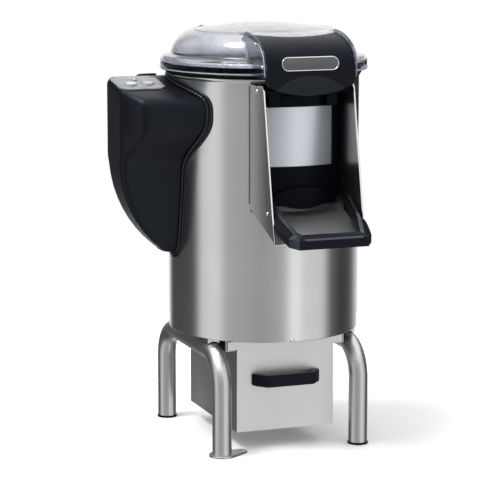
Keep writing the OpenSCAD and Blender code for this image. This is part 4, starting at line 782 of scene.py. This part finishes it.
def chute():
    """Welds to the drum, tabs under the spout's arms and the sloping floor. The tabs are steel darkened with
    painted shade; the floor is steel lightened with painted light.
    """
    joint_x = PLATE_OUT + 1.2
    joint_y = -math.sqrt((DRUM_R + 0.8) ** 2 - joint_x ** 2)
    joint = [(joint_x, joint_y, z) for z in np.linspace(WELD_LOW, WELD_HIGH, 40)]
    weld = sweep(joint, (0.5, -0.87, 0.0), circle(WELD_R, 10))
    piece("chute_welds", both_sides(weld), CHUTE_STEEL, "machine")
    tab = prism(TAB_OUTLINE, TAB_FRONT, TAB_BACK, "y")
    # The tabs' dark steel is painted shade under the spout's arms
    piece("chute_tabs", both_sides(tab), SILL_STEEL_PAINTED_SHADE, "machine", bevel=0.4)
    line = np.linspace(*TAB_HEM_ENDS, 6)
    hem = sweep([(x, TAB_HEM_Y, z) for x, z in line], (0, 0, 1), circle(TAB_HEM_R, 12))
    piece("chute_tab_hems", both_sides(hem), BRIGHT_STEEL, "machine")
    slide, steps = [], 24
    for x in np.linspace(-SLIDE_HALF, SLIDE_HALF, 41):
        y = np.linspace(CHUTE_END_Y, -math.sqrt(SLIDE_R ** 2 - x * x), steps)
        z = CHUTE_FLOOR_Z + (y + DRUM_R) * math.tan(CHUTE_SLOPE)
        slide.append(np.column_stack([np.full(steps, x), y, z]))
    # The floor's light steel is painted light
    piece("chute_slide", grid(slide), FLOOR_STEEL_PAINTED_LIGHT, "machine", ["chute_floor"], solid=SLIDE_T,
          bevel=0.4)


def spout():
    """The spout's rim: two sloping arms and a bar, with a ridge along the inside and a bead on the bar."""
    stations = SPOUT_RIGHT + [((-o[0], o[1]), (-i[0], i[1])) for o, i in SPOUT_RIGHT[::-1]]
    rows = []
    for outer, inner in stations:
        high, low = np.interp(outer[1], *SPOUT_TOPS), np.interp(outer[1], *SPOUT_FEET)
        outer, inner = np.array(outer), np.array(inner)
        width = np.linalg.norm(inner - outer)
        across = (inner - outer) / width
        on_bar = float(smoothstep(*SHOULDER_TURN, outer[1]))
        shoulder = low + (high - low) * (SHOULDER_ARM + (SHOULDER_BAR - SHOULDER_ARM) * on_bar)
        ridge, lap = outer + (width - RIDGE_W) * across, inner + LAP_W * across
        rows.append([(*outer, low), (*outer, shoulder), (*ridge, high - RIDGE_FALL - RIDGE_EDGE),
                     (*(ridge + RIDGE_EDGE * across), high - RIDGE_FALL), (*inner, high),
                     (*inner, high - INNER_DROP), (*lap, high - INNER_DROP - LAP_FALL), (*lap, low)])
    rim = piece("spout_frame", capped(rows), [SPOUT_PLASTIC, SPOUT_RIDGE_PAINTED_LIGHT, SPOUT_MATT_PAINTED_SHADE], "machine",
                ["spout_rim"], bevel=0.8, segments=3)

    # Off the bar, the section's first two faces are the outer ones and the next two the ridge. The outer
    # faces get a plastic that reflects nothing, painted shade; the ridge gets a lighter, glossier plastic,
    # painted light.
    right_corner = len(SPOUT_RIGHT) - 3
    left_corner = len(rows) - len(SPOUT_RIGHT) + 1
    for face in rim.data.polygons:
        row, column = divmod(face.index, len(rows[0]))
        if right_corner < row < left_corner or column > 3:
            continue
        face.material_index = 1 if column > 1 or row == left_corner else 2
    line = [(x, *SPOUT_BEAD) for x in np.linspace(-SPOUT_BEAD_HALF, SPOUT_BEAD_HALF, 21)]
    bead = sweep(line, (0.0, 0.0, 1.0), circle(SPOUT_BEAD_R, 20))
    piece("spout_bead", bead, SPOUT_TRIM, "machine", bevel=0.6)


def door():
    """The sill and strips round the door's opening, then the door's brow, hinge sleeve and steel plate. The
    sill is steel darkened with painted shade; the brow and sleeve are black plastic darkened with painted
    shade.
    """
    sill = band(SILL_R, (-SILL_HALF, SILL_HALF), SILL_Z, 45, 4)
    # The sill's dark steel is painted shade below the door
    piece("door_sill", sill, SILL_STEEL_PAINTED_SHADE, "machine", solid=1.2, bevel=0.3, recalc=False)
    places = (STRIP_IN, SILL_HALF), (-SILL_HALF, -STRIP_IN)
    strips = [band(STRIP_R, sides, STRIP_Z, 6, 9) for sides in places]
    piece("door_side_strips", join(*strips), RUBBER, "machine", solid=1.6, bevel=0.4, recalc=False)
    head_strip = band(HEAD_R, (-HEAD_HALF, HEAD_HALF), HEAD_Z, 45, 5)
    piece("door_head_strip", head_strip, RUBBER, "machine", solid=2.2, bevel=0.5, recalc=False)
    brow = band(BROW_R, (-BROW_HALF, BROW_HALF), BROW_Z, 45, 5, at=BROW_R)
    piece("door_brow", brow, DOOR_PLASTIC_PAINTED_SHADE, "door", solid=4.0, bevel=0.8, recalc=False)
    line = [(x, *DOOR_PIN) for x in np.linspace(-SLEEVE_HALF, SLEEVE_HALF, 9)]
    sleeve = sweep(line, (0, 0, 1), circle(SLEEVE_R, 40))
    piece("door_hinge_sleeve", sleeve, DOOR_PLASTIC_PAINTED_SHADE, "door", bevel=0.8)
    plate = band(DOOR_R, (-DOOR_HALF, DOOR_HALF), DOOR_Z, 61, 9, at=DOOR_R)
    piece("door_plate", plate, PANEL_STEEL, "door", ["door_panel"], solid=SHEET, bevel=0.4,
          recalc=False)


# Control housing


def half_width(z):
    """Half the housing's width at a height: a keel below, then a smooth swell to the full width."""
    swell = (1 - np.cos(np.pi * np.clip((z - NECK_Z) / NECK_H, 0.0, 1.0))) / 2
    return np.interp(z, KEEL_LEVELS, KEEL_WIDTHS) + (HOUSING_HALF - KEEL_HALF) * swell


def spine_x(z):
    """The spine: upright, then an arc under the belly that turns in to the drum at its tip."""
    turn_z = TIP_Z + TIP_TURN
    drop = np.clip(BELLY_Z - max(z, turn_z), 0.0, BELLY_DROP)
    x = HOUSING_X + BELLY_R - np.sqrt(BELLY_R ** 2 - drop ** 2)
    share = math.sqrt(1.0 - min(1.0, max(0.0, turn_z - z) / TIP_TURN) ** 2)
    return -HOUSING_SEAT_R + share * (x + HOUSING_SEAT_R)


def roof_z(y):
    front, rear = np.maximum(0.0, -y - ROOF_FLAT), np.maximum(0.0, y - ROOF_FLAT)
    return PANEL_Z + math.tan(PANEL_TILT) * y - ROOF_FRONT_FALL * front ** 2 - ROOF_REAR_FALL * rear ** 2


def housing_section(z, inset):
    """A level of the housing, from the drum at its rear round the spine to the drum at its front."""
    w = float(half_width(z)) - inset
    keel = KEEL_HALF - inset
    spine = float(spine_x(z)) + 0.45 * inset
    wide = float(smoothstep(*WIDE_RANGE, w + inset))
    soft = min(CORNER_NARROW + (CORNER_WIDE - CORNER_NARROW) * wide, 0.7 * max(-spine - HOUSING_SEAT_R, 0.5))
    corner_w = w - FLANK_TAPER * wide
    spine_w = (1 - wide) * min(max(w - SPINE_ROUND, 0.5 * w), keel) + wide * keel
    pull = (spine + soft * (0.12 + 0.35 * wide), corner_w - (1.0 + 15.0 * wide))
    corner = bezier((spine + soft, corner_w), pull, (spine, spine_w), 14)
    seat = -math.sqrt(HOUSING_SEAT_R ** 2 - w ** 2)
    flank = np.column_stack([np.linspace(seat, spine + soft, 9)[:-1], np.linspace(w, corner_w, 9)[:-1]])
    back = np.column_stack([np.full(6, spine), np.linspace(spine_w, 0.0, 7)[1:]])
    half = np.concatenate([flank, corner, back])
    return np.concatenate([half, half[-2::-1] * (1, -1)])


def housing():
    """The housing's levels from its tip to its tilted roof; gives the line where it meets the drum."""
    rings = []
    for z in HOUSING_LEVELS:
        ring = housing_section(z, 0.0)
        rings.append(np.column_stack([ring, np.full(len(ring), z)]))
    base = HOUSING_LEVELS[-1]
    for share in (0.3, 0.6):
        ring = housing_section(base, 0.0)
        rings.append(np.column_stack([ring, base + share * (roof_z(ring[:, 1]) - HOUSING_EDGE_R - base)]))
    for turn in np.radians(np.linspace(0.0, 90.0, 9)):
        ring = housing_section(base, HOUSING_EDGE_R * (1 - math.cos(turn)))
        rings.append(np.column_stack([ring, roof_z(ring[:, 1]) - HOUSING_EDGE_R * (1 - math.sin(turn))]))
    last, across, cap = rings[-1], 24, []
    for i in range(len(last) // 2 + 1):
        y = np.linspace(last[i, 1], last[-1 - i, 1], across)
        cap.append(np.column_stack([np.full(across, last[i, 0]), y, roof_z(y)]))
    piece("housing_shell", join(grid(rings), grid(cap)), DARK_HOUSING, "machine",
          ["control_housing"], sharp=60)
    lip = prism(REAR_LIP, *REAR_LIP_Y, "y")
    piece("housing_rear_lip", lip, DARK_HOUSING, "machine", bevel=2.0, segments=3)
    front = [r[-1, 1:] for r in rings]
    rear = [r[0, 1:] for r in rings]
    roof = [(y, float(roof_z(y))) for y in np.linspace(front[-1][0], rear[-1][0], 30)[1:-1]]
    return front + roof + rear[::-1]


def housing_edging(line):
    """A ribbed bead and a plain bead on a flat web, which follow the housing's edge round the drum."""
    line = resample(line, EDGING_STEP)
    for _ in range(EDGING_ROUNDS):
        line[1:-1] = (line[:-2] + 2 * line[1:-1] + line[2:]) / 4
    ahead = np.roll(line, -1, 0) - np.roll(line, 1, 0)
    out = np.column_stack([ahead[:, 1], -ahead[:, 0]])
    out /= np.linalg.norm(out, axis=1)[:, None]
    if np.sum(out[:, 0] * (line[:, 0] - line[:, 0].mean())) < 0:
        out = -out
    ribs = np.where(np.arange(len(line)) % 4 < 2, 1.0, RIB_SHARE)
    parts = []
    ribbed, plain = circle(RIBBED_R, 16, RIBBED_FLAT), circle(PLAIN_R, 12)
    strips = (*RIBBED_PLACE, ribbed, ribs), (*PLAIN_PLACE, plain, 1.0), (*WEB_PLACE, EDGING_WEB, 1.0)
    for offset, rise, section, sizes in strips:
        y, z = (line + offset * out).T
        x = -np.sqrt((DRUM_R + rise) ** 2 - y ** 2)
        path = np.column_stack([x, y, z])
        parts.append(sweep(path, np.column_stack([x, y, 0 * z]), section, closed=True, sizes=sizes))
    piece("housing_beads", join(*parts), BEAD_RUBBER, "machine", ["housing_gasket"])


def on_panel(profile, u, v, count=40):
    """A profile of (radius, height) turned about an axis square to the control panel."""
    a = np.arange(count) * 2 * math.pi / count
    rows = []
    for r, h in profile:
        across, along = u + r * np.cos(a), v + r * np.sin(a)
        y = along * math.cos(PANEL_TILT) - h * math.sin(PANEL_TILT)
        z = PANEL_Z + along * math.sin(PANEL_TILT) + h * math.cos(PANEL_TILT)
        rows.append(np.column_stack([PANEL_X + across, y, z]))
    return grid(rows, False, True)


def controls():
    for u, mat, name, slot in ((-KEY_U, GREEN, "start", "green_button"), (KEY_U, RED, "stop", "red_button")):
        piece(name + "_cap", on_panel(KEY_CAP, u, KEY_V), mat, name + "_key", [name + "_button"])
    piece("lamp_lens", on_panel(LAMP_CAP, 0.0, LAMP_V), LAMP, "machine", ["power_lamp"])
    rings = []
    places = (-KEY_U, KEY_V, KEY_BEZEL), (KEY_U, KEY_V, KEY_BEZEL), (0.0, LAMP_V, LAMP_BEZEL)
    for u, v, (inner, outer) in places:
        ring = [(inner, 2.6), (inner, 4.0), (inner + 0.6, 4.5), (outer - 0.8, 4.3), (outer, 3.6)]
        rings.append(on_panel(ring + [(outer, 2.6), ring[0]], u, v))
    piece("panel_bezels", join(*rings), LABEL, "machine")
    wells = [head(np.array(WELL) * (1, s, 1), np.array(WELL_OUT) * (1, s, 1), *WELL_HEAD) for s in (-1, 1)]
    piece("housing_screw_heads", join(*wells), RUBBER, "machine", ["housing_screws"])


# Legs and drawer


def legs():
    """Two bows of bent tube, each from its front foot over the run to its rear foot."""
    turn = np.radians(np.linspace(0.0, 90.0, 22))
    bend_z = RUN_Z - BEND_R
    front_y, rear_y = LEG_FRONT + BEND_R, LEG_REAR - BEND_R
    line = [(LEG_FRONT, z) for z in np.linspace(FOOT_T, bend_z, 8)[:-1]]
    line += [(front_y - BEND_R * math.cos(a), bend_z + BEND_R * math.sin(a)) for a in turn]
    line += [(y, RUN_Z) for y in np.linspace(front_y, rear_y, 8)[1:-1]]
    line += [(rear_y + BEND_R * math.sin(a), bend_z + BEND_R * math.cos(a)) for a in turn]
    line += [(LEG_REAR, z) for z in np.linspace(bend_z, FOOT_T, 8)[1:]]
    for side, name, node in ((-1, "left_leg_bow", "left_leg_frame"), (1, "right_leg_bow", "right_leg_frame")):
        path = np.column_stack([np.full(len(line), side * LEG_X), np.array(line)])
        ahead = np.gradient(path, axis=0)
        tube = sweep(path, np.cross(ahead, (1.0, 0.0, 0.0)), circle(TUBE_R, 56))
        piece(name, tube, LEG_STEEL, "machine", [node], sharp=60)


def handle():
    bow = prism(HANDLE_OUTLINE, HANDLE_LOW, HANDLE_HIGH, "z")
    piece("handle_bow", bow, BLACK, "drawer", ["drawer_handle"], bevel=3.0, segments=4)


# CAD nodes that stay


def dress_all():
    dress(SATIN_STEEL, "bottom_cover", "tank_floor", "drain_pipe", "motor_plate", "left_drawer_rail",
          "right_drawer_rail", "hinge_bracket", "leg_saddles", bevel=0.4)
    dress(SATIN_STEEL, "wall_ribs", bevel=1.0)
    dress(LEG_STEEL, "floor_flange", bevel=0.8)
    dress(CHUTE_STEEL, "left_chute_plate", "right_chute_plate", bevel=0.4)
    dress(DRAWER_STEEL, "drawer_box", "drawer_front", "filter_tray", bevel=0.4)
    dress(BRIGHT_STEEL, "bearing_bolts", "motor_bolts", "handle_screws", "plate_nut",
          "lid_hinge_pin", "spindle", "motor_shaft", "spindle_bearings", bevel=0.5)
    dress(CAST_IRON, "bearing_housing", "driven_pulley", "drive_pulley", bevel=1.0)
    dress(GRIT, "cleaning_plate", bevel=1.5)
    dress(MOTOR_PAINT, "motor_body", bevel=1.0)
    # The surround's darker plastic is painted shade
    dress(DOOR_PLASTIC_PAINTED_SHADE, "door_surround", bevel=0.8)
    dress(BLACK, "cable_gland", "lid_switch", bevel=0.8)
    dress(RUBBER, "shaft_seal", "drive_belt", "cable_bush", "window_seal", bevel=0.6)
    dress(RUBBER, "foot_caps", bevel=1.0)
    dress(LABEL, "control_panel", bevel=0.8)
    dress(CASE, "contactor", bevel=1.5)
    dress(PLATED, "water_inlet", bevel=0.6)


# Studio


def stage():
    """A pale floor, and a dark card at the rear right that the camera doesn't see but the drum reflects."""
    mesh = bpy.data.meshes.new("floor")
    bm = bmesh.new()
    bmesh.ops.create_circle(bm, cap_ends=True, segments=96, radius=FLOOR_R)
    bm.to_mesh(mesh)
    bm.free()
    look = Look("pale_floor", Specular_IOR_Level=0.2)
    tone = look.noise(3.0)
    colour = look.ramp(tone, (0.3, grey(0.90)), (0.7, grey(0.92)))
    look.feed(Base_Color=colour, Roughness=look.range(tone, 0.6, 0.7))
    mesh.materials.append(look.mat)
    floor = place("floor", mesh)
    floor.location.z = FLOOR_Z
    floor.visible_glossy = False

    (x0, y0), (x1, y1) = FLAG_ENDS
    low, high = FLAG_HEIGHTS
    mesh = bpy.data.meshes.new("studio_flag")
    mesh.from_pydata([(x0, y0, low), (x1, y1, low), (x1, y1, high), (x0, y0, high)], [], [(0, 1, 2, 3)])
    mesh.materials.append(RUBBER)
    flag = place("studio_flag", mesh)
    flag.visible_camera = flag.visible_diffuse = flag.visible_shadow = False


def studio_light():
    """A ring of soft boxes by bearing from the camera, under a bright ceiling and a key light."""
    world = bpy.data.worlds.new("studio")
    bpy.context.scene.world = world
    world.use_nodes = True
    tree = world.node_tree
    link = tree.links.new

    def node(kind, *sources, operation=None):
        made = tree.nodes.new(kind)
        if operation:
            made.operation = operation
        for source, socket in zip(sources, made.inputs):
            link(source, socket)
        return made

    def spread(value, start, end, smooth=True):
        made = node("ShaderNodeMapRange", value)
        made.interpolation_type = "SMOOTHSTEP" if smooth else "LINEAR"
        for socket, limit in zip(made.inputs[1:5], (start, end, 0.0, 1.0)):
            socket.default_value = limit
        return made.outputs[0]

    def brighten(factor, room, light):
        made = node("ShaderNodeMix", factor)
        made.data_type = "RGBA"
        link(room, made.inputs[6])
        made.inputs[7].default_value = (*grey(light), 1.0)
        return made.outputs[2]

    direction = node("ShaderNodeTexCoord").outputs["Generated"]
    x, y, z = node("ShaderNodeSeparateXYZ", direction).outputs
    bearing = node("ShaderNodeMath", y, x, operation="ARCTAN2").outputs[0]
    boxes = node("ShaderNodeValToRGB", spread(bearing, -math.pi, math.pi, smooth=False))
    set_stops(boxes, sorted((((CAMERA_BEARING + a + 180.0) / 360.0) % 1.0, grey(v)) for a, v in SOFTBOXES))
    room = brighten(spread(z, *CEILING_RANGE), boxes.outputs[0], CEILING_LIGHT)
    aim = node("ShaderNodeVectorMath", direction, operation="DOT_PRODUCT")
    aim.inputs[1].default_value = KEY_DIRECTION
    lit = node("ShaderNodeBackground", brighten(spread(aim.outputs["Value"], *KEY_RANGE), room, KEY_LIGHT))
    paper = node("ShaderNodeBackground")
    paper.inputs[0].default_value = (1.0, 1.0, 1.0, 1.0)
    path = node("ShaderNodeLightPath").outputs
    seen = node("ShaderNodeMath", path["Is Camera Ray"], path["Is Transmission Ray"], operation="MAXIMUM")
    choose = node("ShaderNodeMixShader", seen.outputs[0], lit.outputs[0], paper.outputs[0])
    link(choose.outputs[0], tree.nodes["World Output"].inputs[0])
    bpy.context.scene.view_settings.view_transform = "Standard"


def camera():
    data = bpy.data.cameras.new("camera")
    data.lens = CAMERA_LENS
    data.sensor_width = CAMERA_SENSOR
    made = place("camera", data)
    made.location = CAMERA_AT
    made.rotation_euler = (math.radians(CAMERA_TILT), 0.0, math.radians(CAMERA_TURN))
    bpy.context.scene.camera = made


camera()
studio_light()
stage()
drum()
lid_bowl()
hood()
lid_lugs()
rim_gasket()
visor()
badge()
fasteners()
plate_hems()
chute()
spout()
door()
housing_edging(housing())
controls()
legs()
handle()
dress_all()
